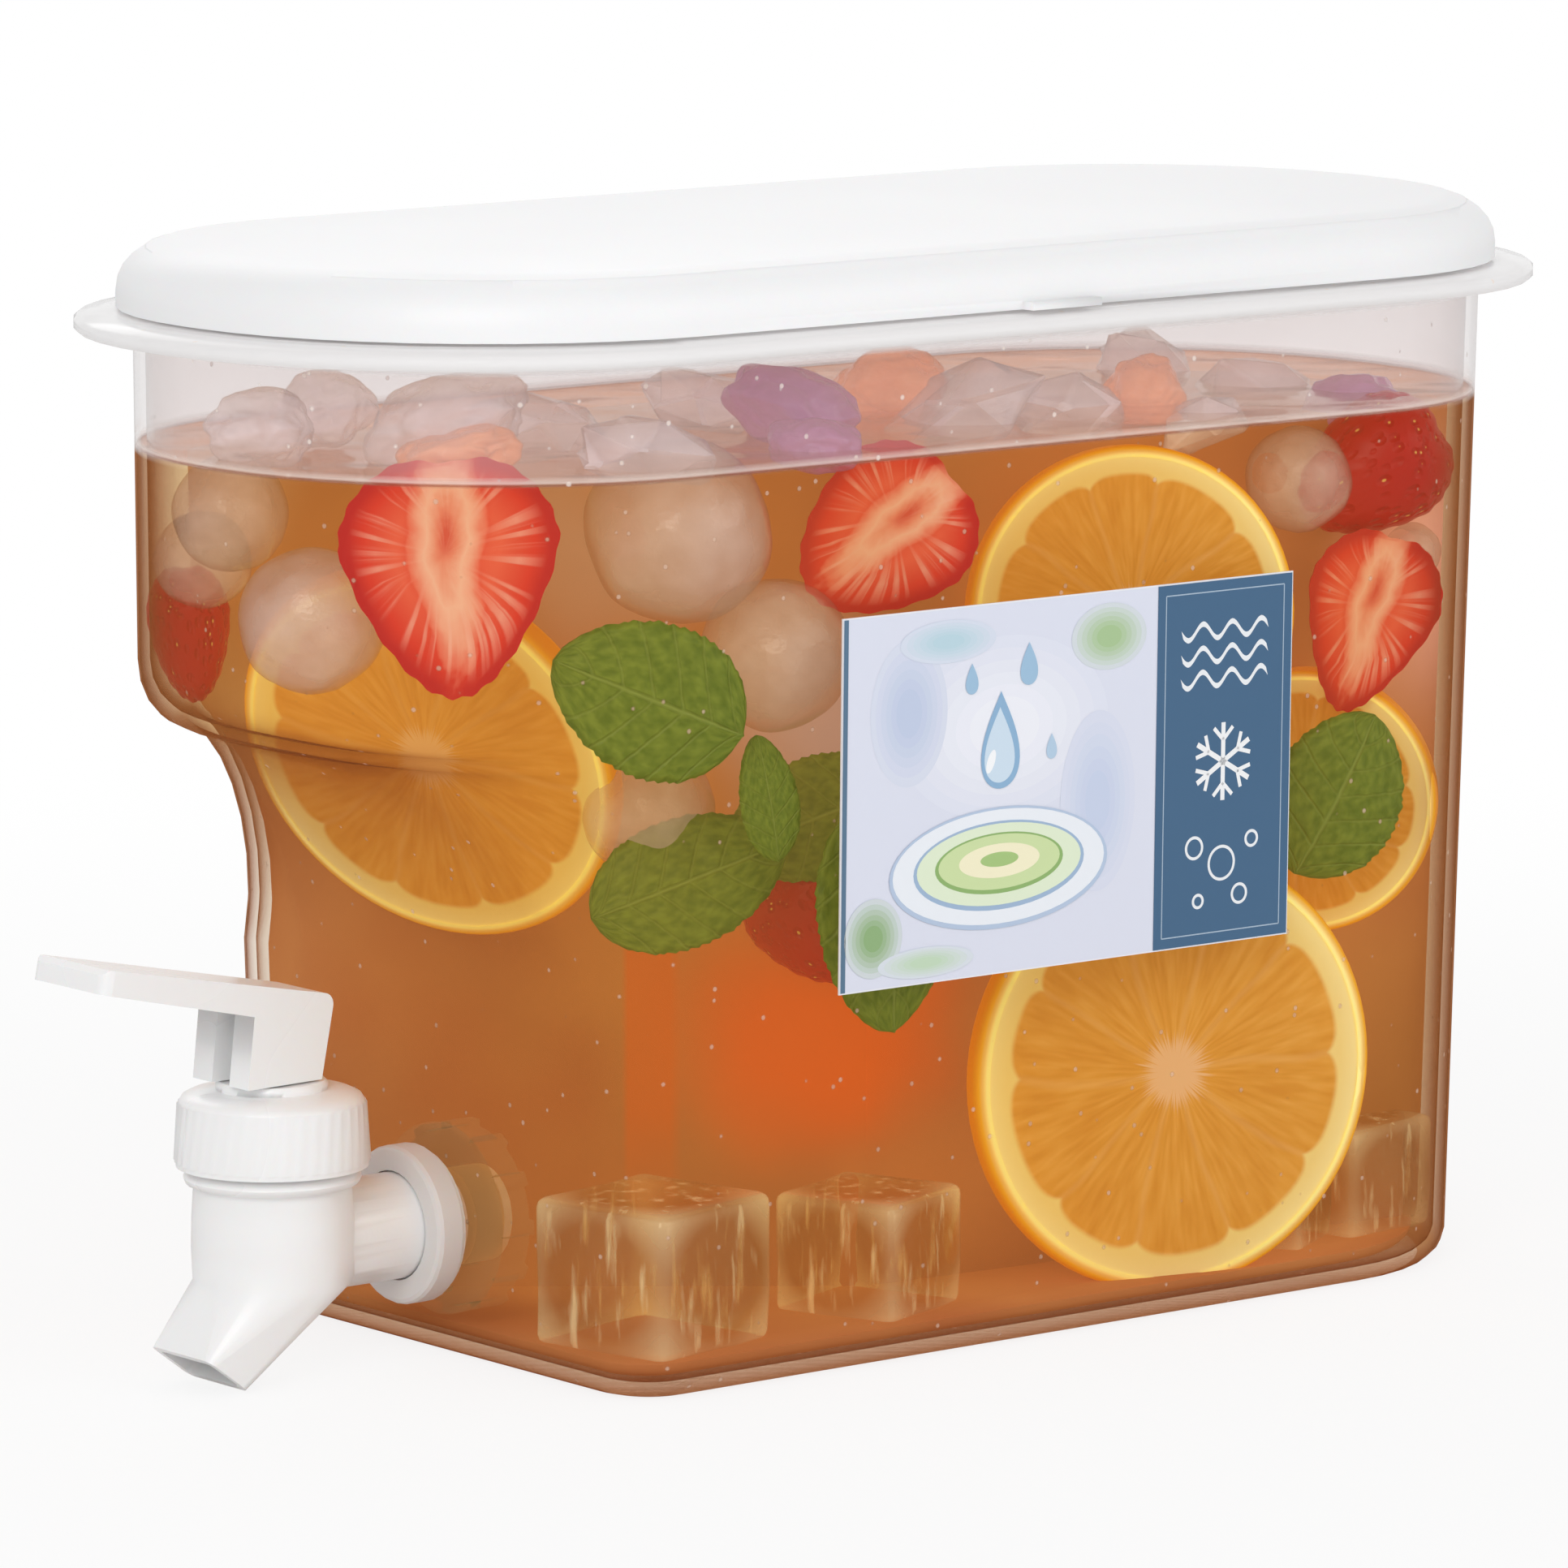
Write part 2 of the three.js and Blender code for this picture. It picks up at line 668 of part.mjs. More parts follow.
class Helix extends THREE.Curve {
  constructor(radius, low, high, turns) {
    super();
    Object.assign(this, { radius, low, high, turns });
  }

  getPoint(share, target = new THREE.Vector3()) {
    const angle = share * this.turns * 2 * Math.PI;
    const z = lerp(this.low, this.high, share);
    return target.set(this.radius * Math.cos(angle), this.radius * Math.sin(angle), z);
  }
}

function makeSpring() {
  const low = stemShoulderZ + seatGap + springWire / 2;
  const high = roofZ - seatGap - springWire / 2;
  const wire = new THREE.Shape();
  const sides = 5;
  for (let k = 0; k < sides; k += 1) {
    const angle = (k / sides) * 2 * Math.PI;
    const x = (springWire / 2) * Math.cos(angle);
    const y = (springWire / 2) * Math.sin(angle);
    if (k === 0) wire.moveTo(x, y);
    else wire.lineTo(x, y);
  }
  wire.closePath();
  return new THREE.ExtrudeGeometry(wire, {
    steps: springTurns * 8,
    bevelEnabled: false,
    extrudePath: new Helix(springRadius, low, high, springTurns),
  }).translate(valveX, 0, 0);
}

// Lever, drawn level about its pivot and then turned up by its slope

function makeLever() {
  const under = leverTop - leverThickness;
  const footFront = cheekFront - footSetback;
  // the feet are level when the lever is turned up, a gap above the collar's flat top
  const footHeight = (along) => {
    const drop = (pivotRise - seatGap) / Math.cos(leverSlope);
    return along * Math.tan(leverSlope) - drop;
  };
  const side = new THREE.Shape();
  side.moveTo(-leverFront, leverTop - leverTipThickness);
  side.lineTo(-cheekFront, under);
  side.lineTo(-footFront, footHeight(-footFront));
  side.lineTo(leverRear, footHeight(leverRear));
  side.lineTo(leverRear, leverTop - leverRound);
  side.absarc(leverRear - leverRound, leverTop - leverRound, leverRound, 0, Math.PI / 2, false);
  side.lineTo(-leverFront + leverRound / 2, leverTop);
  side.lineTo(-leverFront, leverTop - leverRound / 2);
  side.closePath();
  const block = solid(new THREE.ExtrudeGeometry(side, {
    depth: leverFrontWidth, bevelEnabled: false, curveSegments: 4,
  }).translate(0, 0, -leverFrontWidth / 2).rotateX(Math.PI / 2));

  const halfFront = leverFrontWidth / 2;
  const halfRear = leverRearWidth / 2;
  const top = new THREE.Shape();
  top.moveTo(leverRear + overrun, -halfRear);
  top.lineTo(leverRear + overrun, halfRear);
  top.lineTo(-leverFront + leverRound, halfFront);
  top.quadraticCurveTo(-leverFront, halfFront, -leverFront, halfFront - leverRound);
  top.lineTo(-leverFront, leverRound - halfFront);
  top.quadraticCurveTo(-leverFront, -halfFront, -leverFront + leverRound, -halfFront);
  top.closePath();
  const reach = leverFront + leverTop;
  const outline = solid(new THREE.ExtrudeGeometry(top, {
    depth: 2 * reach, bevelEnabled: false, curveSegments: 4,
  }).translate(0, 0, -reach));

  const slotTop = tongueRadius + 2 * seatGap;
  const slotDepth = slotTop + reach;
  const slotLength = cheekFront + leverRear + 2 * overrun;
  const slot = solid(new THREE.BoxGeometry(slotLength, forkGap, slotDepth)
    .translate((leverRear - cheekFront) / 2, 0, slotTop - slotDepth / 2));
  const socketRadius = trunnionRadius + seatGap;
  const socketReach = forkGap / 2 + trunnionReach + seatGap;
  const sockets = solid(turned([
    [0, -socketReach], [socketRadius, -socketReach], [socketRadius, socketReach], [0, socketReach],
  ], 16).rotateX(Math.PI / 2));
  return surface(block.intersect(outline).subtract(slot).subtract(sockets));
}

// Assembly

function plastic(color, roughness, opacity = 1) {
  return new THREE.MeshStandardMaterial({
    color, roughness, metalness: 0, opacity, transparent: opacity < 1,
  });
}

const clearPlastic = plastic('#d6cbc8', 0.28, 0.35);
const lidPlastic = plastic('#fafafa', 0.32);
const tapPlastic = plastic('#f4f4f5', 0.38);
const labelFilm = plastic('#c9d2ec', 0.3);
const rubber = plastic('#e9e6df', 0.6);
const springSteel = new THREE.MeshStandardMaterial({
  color: '#b9bcc0', roughness: 0.3, metalness: 1,
});

const jug = new THREE.Group();

function place(name, geometry, material, position = [0, 0, 0], pitch = 0) {
  const mesh = new THREE.Mesh(geometry, material);
  mesh.name = name;
  mesh.position.set(...position);
  mesh.rotation.y = pitch;
  jug.add(mesh);
}

place('tank', makeTank(), clearPlastic);
place('label_sticker', makeLabel(), labelFilm);
place('lid', makeLid(), lidPlastic);
place('tap_body', makeTapBody(), tapPlastic);
place('shank_washer', makeWasher(), tapPlastic);
place('outer_seal', makeOuterSeal(), rubber);
place('inner_seal', makeInnerSeal(), rubber);
place('lock_nut', makeLockNut(), tapPlastic);
place('collar_nut', makeCollar(), tapPlastic);
place('seat_cup', makeSeatCup(), rubber);
place('valve_stem', makeStem(), tapPlastic);
place('return_spring', makeSpring(), springSteel);
place('tap_lever', makeLever(), tapPlastic, [valveX, 0, pivotZ], leverSlope);

export default jug;
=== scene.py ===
# %% [markdown]
# # A fridge water jug with a tap, dressed in Blender
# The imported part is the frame: a clear tank, a white lid, a label of printed film and a small white
# tap. Its shapes are right already, so this lesson is mostly about finishes. A see-through tank shows
# what is in it, so a drink with ice and fruit stands inside as set dressing, as a shop would show it.

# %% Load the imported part
import json
import math

import bmesh
import bpy
from mathutils import Matrix, Vector, noise

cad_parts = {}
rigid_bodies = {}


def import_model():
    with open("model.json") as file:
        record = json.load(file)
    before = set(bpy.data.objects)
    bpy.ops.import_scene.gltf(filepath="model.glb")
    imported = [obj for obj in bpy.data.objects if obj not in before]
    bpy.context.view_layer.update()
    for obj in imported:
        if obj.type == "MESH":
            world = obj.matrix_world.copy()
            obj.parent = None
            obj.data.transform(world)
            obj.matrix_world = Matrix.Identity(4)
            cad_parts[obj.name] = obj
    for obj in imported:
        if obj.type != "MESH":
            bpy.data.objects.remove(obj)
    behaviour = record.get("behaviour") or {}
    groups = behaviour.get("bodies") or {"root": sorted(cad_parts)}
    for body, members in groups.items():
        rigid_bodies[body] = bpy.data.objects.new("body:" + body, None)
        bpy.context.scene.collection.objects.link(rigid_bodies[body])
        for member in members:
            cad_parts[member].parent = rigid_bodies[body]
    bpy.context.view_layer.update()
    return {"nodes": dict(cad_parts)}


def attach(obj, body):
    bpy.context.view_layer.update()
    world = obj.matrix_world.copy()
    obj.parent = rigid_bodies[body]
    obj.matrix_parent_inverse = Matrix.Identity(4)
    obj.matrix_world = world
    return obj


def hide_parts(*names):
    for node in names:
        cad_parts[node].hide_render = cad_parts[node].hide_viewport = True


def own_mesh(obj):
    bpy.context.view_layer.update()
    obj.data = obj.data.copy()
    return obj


for leftover in list(bpy.data.objects):
    bpy.data.objects.remove(leftover)
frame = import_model()

# %% [markdown]
# ## The camera
# A product picture of a long thing is taken from far off with a long lens, because its parallel edges
# would spread if it were taken from near by. The place and lens below were worked out from the
# corners of the tank and lid, so the picture has the same edges at the same places as the photograph.

# %% Place the camera
MM = 0.001  # the scene is in metres


def made(name, data):
    """A new object for this data, in the scene."""
    thing = bpy.data.objects.new(name, data)
    bpy.context.scene.collection.objects.link(thing)
    return thing


camera = made("camera", bpy.data.cameras.new("camera"))
camera.data.sensor_width = 36
camera.data.lens = 225.2
camera.location = (-1.0159, -1.2634, 0.3341)
camera.rotation_euler = (math.radians(81.3), 0, math.radians(-38.58))
bpy.context.scene.camera = camera

# %% [markdown]
# ## Helpers for finishes
# Every finish here is a node tree. Colours are picked as hex codes, which are stored the way a screen
# shows them, and the renderer wants linear light, so one function turns them. A second function adds
# any node with its settings and its links, so a finish reads from top to bottom. Short ones follow
# for the nodes that most finishes need.

# %% A colour, a node and an empty finish
def ink(code):
    """The linear colour of a hex code."""
    parts = [int(code[i : i + 2], 16) / 255 for i in (1, 3, 5)]
    return tuple(c / 12.92 if c <= 0.04045 else ((c + 0.055) / 1.055) ** 2.4 for c in parts) + (1,)


def add(tree, kind, inputs=None, **settings):
    """A node of this kind. Its inputs are values, hex codes, nodes or sockets."""
    node = tree.nodes.new("ShaderNode" + kind)
    for name, value in settings.items():
        setattr(node, name, value)
    for key, value in (inputs or {}).items():
        source = value.outputs[0] if isinstance(value, bpy.types.Node) else value
        if isinstance(source, bpy.types.NodeSocket):
            tree.links.new(source, node.inputs[key])
        else:
            node.inputs[key].default_value = ink(source) if isinstance(source, str) else source
    return node


def finish(name):
    """An empty finish and its node tree."""
    material = bpy.data.materials.new(name)
    material.use_nodes = True
    material.node_tree.nodes.clear()
    return material, material.node_tree


print("pure white in linear light:", ink("#ffffff"))


# %% Numbers and places in a finish
def here(tree):
    """The place on the piece, in metres."""
    return add(tree, "TexCoord").outputs["Object"]


def axis(tree, vector, name):
    """The X, Y or Z of a vector."""
    return add(tree, "SeparateXYZ", {0: vector}).outputs[name]


def calc(tree, operation, *numbers):
    """A calculation with one to three numbers."""
    return add(tree, "Math", dict(enumerate(numbers)), operation=operation)


def vec(tree, operation, *vectors):
    """A calculation with one to three vectors, which gives a number or a vector."""
    node = add(tree, "VectorMath", dict(enumerate(vectors)), operation=operation)
    return node.outputs["Value" if operation in ("LENGTH", "DISTANCE", "DOT_PRODUCT") else "Vector"]


def ranged(tree, value, start=(0, 1), end=(0, 1), smooth=False):
    """Takes a value from the start's range to the end's, and holds it at both ends."""
    inputs = {"Value": value, "From Min": start[0], "From Max": start[1], "To Min": end[0], "To Max": end[1]}
    return add(tree, "MapRange", inputs, interpolation_type="SMOOTHSTEP" if smooth else "LINEAR")


print("helpers for numbers: here, axis, calc, vec, ranged")


# %% Patterns and colours in a finish
def mottle(tree, place, scale, detail=2):
    """Soft, uneven blots."""
    return add(tree, "TexNoise", {"Vector": place, "Scale": scale, "Detail": detail})


def bumps(tree, height, strength, depth):
    """Small bumps in the surface, their depth in metres."""
    return add(tree, "Bump", {"Height": height, "Strength": strength, "Distance": depth})


def blend(tree, share, first, second):
    """A colour from the first, for a share of 0, to the second, for 1."""
    return add(tree, "Mix", {0: share, 6: first, 7: second}, data_type="RGBA").outputs[2]


def ramp(tree, value, *stops):
    """A colour picked by a value. Each stop is a position with a hex code or a level of grey."""
    node = add(tree, "ValToRGB", {"Fac": value})
    elements = node.color_ramp.elements
    for number, (at, colour) in enumerate(stops):
        stop = elements[number] if number < len(elements) else elements.new(at)
        stop.position = at
        stop.color = ink(colour) if isinstance(colour, str) else (colour, colour, colour, 1)
    return node


print("helpers for patterns: mottle, bumps, blend, ramp")


# %% Surfaces in a finish
def facing(tree, normal=None):
    """0 where the surface is looked at straight on, up to 1 at its outline."""
    return add(tree, "LayerWeight", {"Blend": 0.5} | ({"Normal": normal} if normal else {})).outputs["Facing"]


def solid(tree, colour, roughness, glow=0, more=None):
    """An opaque body. Its glow of its own colour is painted light, which stands in for the light that it
    would pass on.
    """
    inputs = {"Base Color": colour, "Roughness": roughness, "Emission Color": colour,
              "Emission Strength": glow}
    return add(tree, "BsdfPrincipled", inputs | (more or {}))


def glass(tree, colour="#ffffff"):
    """See-through with this tint, without bending the view."""
    return add(tree, "BsdfTransparent", {"Color": colour})


def mixed(tree, share, first, second):
    """The first surface for a share of 0, the second for 1."""
    return add(tree, "MixShader", {0: share, 1: first, 2: second})


print("helpers for surfaces: facing, solid, glass, mixed")


# %% A shiny skin, and what the finish shows
def coated(tree, base, seen, power, shine, colour, roughness, normal=None):
    """Puts a shiny skin on a surface: shine is its share straight on and at the outline."""
    share = ranged(tree, calc(tree, "POWER", seen, power), end=shine)
    inputs = {"Color": colour, "Roughness": roughness} | ({"Normal": normal} if normal else {})
    return mixed(tree, share, base, add(tree, "BsdfGlossy", inputs))


def covers(tree, surface):
    """Makes this surface what the finish shows."""
    add(tree, "OutputMaterial", {"Surface": surface})


print("more helpers for surfaces: coated, covers")

# %% [markdown]
# ## Light, floor and backdrop
# White plastic on a white ground shows its shape only by soft greys. One large soft lamp high on the
# left gives most of the light, a weaker one on the right fills, and the room itself is pale. The
# floor looks white to the camera but still takes a soft shadow, which a pure white world can't.

# %% Lamps
JUG_MIDDLE = Vector((0, 0, 90 * MM))
# columns: name, place and width in metres, power in watts
LAMPS = (("key_lamp", (-1.5, -1.2, 1.15), 1.1, 14), ("fill_lamp", (0.9, -1.7, 0.9), 1.4, 7),
         ("back_lamp", (0.7, 1.5, 1.3), 1.4, 6))
for name, place, width, power in LAMPS:
    light = made(name, bpy.data.lights.new(name, "AREA"))
    light.data.size = width
    light.data.energy = power
    light.location = place
    light.rotation_euler = (JUG_MIDDLE - light.location).to_track_quat("-Z", "Y").to_euler()
print("lamps:", len(LAMPS))

# %% The room: white to look at, a plain grey level as light
bpy.context.scene.view_settings.view_transform = "Standard"
world = bpy.data.worlds.new("pale_room")
bpy.context.scene.world = world
world.use_nodes = True
tree = world.node_tree
tree.nodes.clear()
path = add(tree, "LightPath")
seen = add(tree, "Math", {0: path.outputs["Is Camera Ray"], 1: path.outputs["Is Glossy Ray"]},
           operation="ADD", use_clamp=True)
level = ranged(tree, seen, end=(0.6, 1))
sky = add(tree, "Background", {"Color": "#ffffff", "Strength": level})
add(tree, "OutputWorld", {"Surface": sky})
print("room light for diffuse surfaces:", round(level.inputs["To Min"].default_value, 2))

# %% The floor
FLOOR_RADIUS = 6  # metres
floor_finish, tree = finish("matt_white_paper")
middle = add(tree, "Mapping", {"Vector": here(tree), "Scale": (1.6, 1.6, 0)})
open_floor = ranged(tree, vec(tree, "LENGTH", middle), (0.3, 1), (0.85, 1), smooth=True)
path = add(tree, "LightPath")
looked_at = calc(tree, "MULTIPLY", path.outputs["Is Camera Ray"], open_floor)
paper = add(tree, "BsdfDiffuse", {"Color": "#f4f4f4"})
white = add(tree, "Emission", {"Color": "#ffffff", "Strength": 1})
covers(tree, mixed(tree, looked_at, paper, white))

shape = bmesh.new()
bmesh.ops.create_circle(shape, cap_ends=True, segments=64, radius=FLOOR_RADIUS)
floor = made("floor", bpy.data.meshes.new("floor"))
shape.to_mesh(floor.data)
shape.free()
floor.data.materials.append(floor_finish)
print("floor faces:", len(floor.data.polygons))

# %% [markdown]
# ## Taking over a node's shape
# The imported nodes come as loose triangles, which shade with facets. A copy of the node with its
# doubled corners merged can be shaded smooth, with hard edges kept where two faces meet steeply.
# The copy then stands for the node, and nothing moves: its place is in its mesh.

# %% Helpers: a node's shape, and a piece made of a shape
def merged(name):
    """A bmesh of the node with its doubled corners merged."""
    shape = bmesh.new()
    shape.from_mesh(frame["nodes"][name].data)
    bmesh.ops.remove_doubles(shape, verts=shape.verts, dist=0.002 * MM)
    return shape


def piece_of(name, shape, materials, hard):
    """An object made of this bmesh, smooth but for edges steeper than hard degrees."""
    thing = made(name, bpy.data.meshes.new(name))
    for face in shape.faces:
        face.smooth = True
    shape.to_mesh(thing.data)
    shape.free()
    if hard < 180:
        thing.data.set_sharp_from_angle(angle=math.radians(hard))
    for material in materials:
        thing.data.materials.append(material)
    print(name, "has", len(thing.data.polygons), "faces")
    return thing


print("helpers for shapes: merged, piece_of")


# %% Helper: dress a node
def shown(name, shape, material, body, hard=30, stands_for=None):
    """A piece of the jug that rides on this body."""
    thing = piece_of(name, shape, (material,), hard)
    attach(thing, body)
    if stands_for:
        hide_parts(stands_for)
    return thing


print("helper for pieces of the jug: shown")

# %% [markdown]
# ## The tank: clear moulded styrene
# The tank is injection moulded from a clear plastic, and cold dew sits on it. Real refraction through
# four surfaces would be noisy and would block the lamps, so the finish is see-through without
# bending. Its milkiness grows at a glance. Its thick rim is whiter and glows: painted light, which
# stands in for light that runs inside the wall and comes out there. Below the waterline the wall and
# base take on the drink's warm tone; in the wall's milk this tone is painted light from the drink.

# %% Clear plastic: where it is milky
RIM = (165.4 * MM, 166.6 * MM)  # the white rim comes in between these heights
WATERLINE = 148.5 * MM
DEW_APART = 6 * MM

tank_plastic, tree = finish("clear_moulded_styrene")
height = axis(tree, here(tree), "Z")
seen = facing(tree)
glance = calc(tree, "POWER", seen, 4)
filled = ranged(tree, height, (WATERLINE, WATERLINE - 1 * MM))
cloud = calc(tree, "MULTIPLY_ADD", glance, ranged(tree, filled, end=(0.3, 0.8)), 0.004)
# The rim's milk and glow are painted light, which lifts the shade under the lid.
rim = ranged(tree, height, RIM, (0, 0.75))
bead = add(tree, "TexVoronoi", {"Vector": here(tree), "Scale": 1 / DEW_APART}).outputs["Distance"]
dew = ranged(tree, bead, (0.09, 0.05), (0, 0.55))
milky = calc(tree, "MAXIMUM", calc(tree, "MAXIMUM", cloud, rim), dew)
print("dew drops, mm apart:", DEW_APART / MM)

# %% Clear plastic: its tones and its shine
BASE = (5 * MM, 1 * MM)  # the base's warm tone comes in between these heights
base = ranged(tree, height, BASE)
tinted = calc(tree, "MAXIMUM", base, calc(tree, "MULTIPLY", glance, filled))
pane = glass(tree, blend(tree, tinted, "#fbfafa", "#dcae88"))
# Below the waterline the milk's brown tone is painted light from the drink behind it.
milk = blend(tree, dew, blend(tree, filled, "#f3f2f2", "#9c6238"), "#f6e2d0")
wall = solid(tree, milk, 0.5, 0.08, {"IOR": 1.57, "Specular IOR Level": 0})
wall = mixed(tree, milky, pane, wall)
most = ranged(tree, filled, end=(0.7, 0.15))
shine = calc(tree, "MULTIPLY_ADD", calc(tree, "POWER", seen, 5), most, 0.004)
gloss = add(tree, "BsdfGlossy", {"Color": blend(tree, filled, "#ffffff", "#c89060"), "Roughness": 0.12})
covers(tree, mixed(tree, shine, wall, gloss))
shown("clear_tank", merged("tank"), tank_plastic, "jug", 32, "tank")

# %% [markdown]
# ## The lid: white polypropylene
# The lid is milky white with a satin skin. A very fine orange-peel texture from the mould breaks its
# highlights, so the bumps take their size from that, about 1.5 mm between crests.

# %% White plastics
# The glow in the tea's tone is painted light, which lifts the shade on the shank inside the tank.
IN_TEA = (-84 * MM, -80 * MM)  # the glow of a piece that reaches in to the tea comes in between these x
UNEVEN = 0.06  # how far the roughness wanders


def white_plastic(name, colour, grain_mm, grain_depth, roughness, soft, glow=0):
    """Opaque moulded white plastic, with a painted glow where it lies in the tea, which lifts the shade
    there.
    """
    material, tree = finish(name)
    place = here(tree)
    skin = bumps(tree, mottle(tree, place, 1 / (grain_mm * MM)), grain_depth, 0.2 * MM)
    cloudy = mottle(tree, place, 1 / (40 * MM), 1)
    worn = ranged(tree, cloudy, end=(roughness - UNEVEN, roughness + UNEVEN))
    inputs = {"Base Color": colour, "Roughness": worn, "Normal": skin, "IOR": 1.49,
              "Subsurface Weight": soft, "Subsurface Scale": 2 * MM}
    if glow:
        painted_glow_in_tea = ranged(tree, axis(tree, place, "X"), IN_TEA)
        inputs |= {"Emission Color": blend(tree, painted_glow_in_tea, "#000000", "#c68a50"), "Emission Strength": glow}
    covers(tree, add(tree, "BsdfPrincipled", inputs))
    return material


lid_plastic = white_plastic("satin_polypropylene", "#f3f3f4", 1.5, 0.15, 0.42, 0.15)
shown("white_lid", merged("lid"), lid_plastic, "lid", 35, "lid")

# %% [markdown]
# ## The tap: glossier white ABS
# The tap's pieces come from polished moulds, so they shine more than the lid, and the washer is a
# duller, softer plastic, with a darker tone that is painted shade. The end of the tap's shank stands
# in the tea, and a painted glow in the tea's tone lifts the shade on it. Flat faces are joined and
# keep their own normals, so that round edges beside them don't shade them. The nut inside the tank
# hardly shows through the wall, as a natural, unpigmented moulding would; the glow of its body is
# painted light.

# %% White ABS
ABS = ("#f6f6f6", 0.9, 0.08, 0.28, 0.1)
tap_plastic = white_plastic("gloss_abs", *ABS)
body_plastic = white_plastic("gloss_abs_tap_body", *ABS, glow=0.3)
# The washer's darker tone is painted shade.
washer_plastic_painted_shade = white_plastic("soft_washer_plastic_painted_shade", "#e0dddb", 0.9, 0.08, 0.45, 0.2)
# columns: node, finish, body
TAP_PIECES = (("tap_body", body_plastic, "jug"), ("shank_washer", washer_plastic_painted_shade, "jug"),
              ("collar_nut", tap_plastic, "jug"), ("valve_stem", tap_plastic, "stem"),
              ("tap_lever", tap_plastic, "lever"))
for node, look, body in TAP_PIECES:
    shape = merged(node)
    bmesh.ops.dissolve_limit(shape, angle_limit=math.radians(0.5), verts=shape.verts, edges=shape.edges)
    piece = shown("white_" + node, shape, look, body, 30, node)
    level = piece.modifiers.new("flat_faces_stay_flat", "WEIGHTED_NORMAL")
    level.keep_sharp = True

# %% Natural polypropylene: see-through like horn
natural, tree = finish("natural_polypropylene")
milky = ranged(tree, mottle(tree, here(tree), 1 / (6 * MM), 1), end=(0.06, 0.12))
# The horn body's warm glow is painted light, which lifts the shade on the nut and inner seal.
horn_with_painted_glow = solid(tree, "#dcae78", 0.4, 0.4, {"IOR": 1.49})
covers(tree, mixed(tree, milky, glass(tree, "#fefcfa"), horn_with_painted_glow))
shown("natural_lock_nut", merged("lock_nut"), natural, "jug", 30, "lock_nut")

# %% [markdown]
# ## The label: a printed film
# The label is a thin printed film with a satin coat. The print is drawn as flat inks, each a hair in
# front of the one below: ripples and a falling drop on a pale field, and a blue panel with waves, a
# snow crystal and bubbles. Flat shapes stay crisp at any size, which noise can't do.

# %% Where the label lies
film = merged("label_sticker")
front = max(film.faces, key=lambda face: -face.normal.y * face.calc_area())
outward = front.normal.copy()
on_front = [v.co for v in film.verts if (v.co - front.calc_center_median()).dot(outward) > -0.05 * MM]
label_middle = sum(on_front, Vector()) / len(on_front)
LABEL_WIDE = (max(c.x for c in on_front) - min(c.x for c in on_front)) / MM
LABEL_TALL = (max(c.z for c in on_front) - min(c.z for c in on_front)) / MM
upward = outward.cross(Vector((1, 0, 0)))
label_axes = Matrix((Vector((1, 0, 0)), upward, outward)).transposed().to_4x4()
label_place = Matrix.Translation(label_middle) @ label_axes @ Matrix.Scale(MM, 4)
print("label:", round(LABEL_WIDE, 1), "by", round(LABEL_TALL, 1), "mm")

# %% The film's finish reads its ink from the mesh
film_look, tree = finish("printed_film")
rough = ranged(tree, mottle(tree, here(tree), 1 / (2 * MM)), end=(0.3, 0.45))
tone = add(tree, "Attribute", attribute_name="ink").outputs["Color"]
covers(tree, add(tree, "BsdfPrincipled", {"Base Color": tone, "Roughness": rough, "IOR": 1.46}))


def inked(shape, faces, colour):
    """Gives these faces their ink."""
    tone = shape.loops.layers.float_color.get("ink") or shape.loops.layers.float_color.new("ink")
    for face in faces:
        for loop in face.loops:
            loop[tone] = ink(colour)


print("film nodes:", len(tree.nodes))

# %% Helper: one flat ink
LAYER = 0.02  # millimetres from one ink to the next, enough to part them
FIELD, PANEL_BLUE, PALE_LINE, NEAR_WHITE = "#dfe3f2", "#3c6386", "#a9bdd0", "#eef2f6"
print_shape = bmesh.new()


def flat(colour, layer, x, y, wide, tall=None, spin=0, sides=48, form=None):
    """A flat ink on the label: an oval, or a box for 4 sides, formed point by point if asked."""
    radius = math.sqrt(0.5) if sides == 4 else 0.5
    square = Matrix.Rotation(math.radians(45 if sides == 4 else 0), 4, "Z")
    circle = bmesh.ops.create_circle(print_shape, cap_ends=True, segments=sides, radius=radius, matrix=square)
    ring = circle["verts"]
    for vert in ring if form else ():
        vert.co = form(vert.co)
    sized = Matrix.Diagonal((wide, tall or wide, 1, 1))
    spot = Matrix.Translation((x, y, layer * LAYER)) @ Matrix.Rotation(math.radians(spin), 4, "Z")
    bmesh.ops.transform(print_shape, matrix=label_place @ spot @ sized, verts=ring)
    inked(print_shape, {face for vert in ring for face in vert.link_faces}, colour)


print("helper for the print: flat, on a field of", FIELD)


# %% Helper: a soft patch
def blurred(colour, layer, x, y, wide, tall, steps=6):
    """A soft patch: ovals that go step by step from the field's colour to this one."""
    ends = [[int(code[i : i + 2], 16) for i in (1, 3, 5)] for code in (FIELD, colour)]
    for step in range(steps):
        share = (step + 1) / steps
        parts = [round(low * (1 - share) + high * share) for low, high in zip(*ends)]
        size = 1 - 0.8 * step / steps
        flat("#%02x%02x%02x" % tuple(parts), layer + 0.1 * step, x, y, wide * size, tall * size)


print("helper for soft patches: blurred")

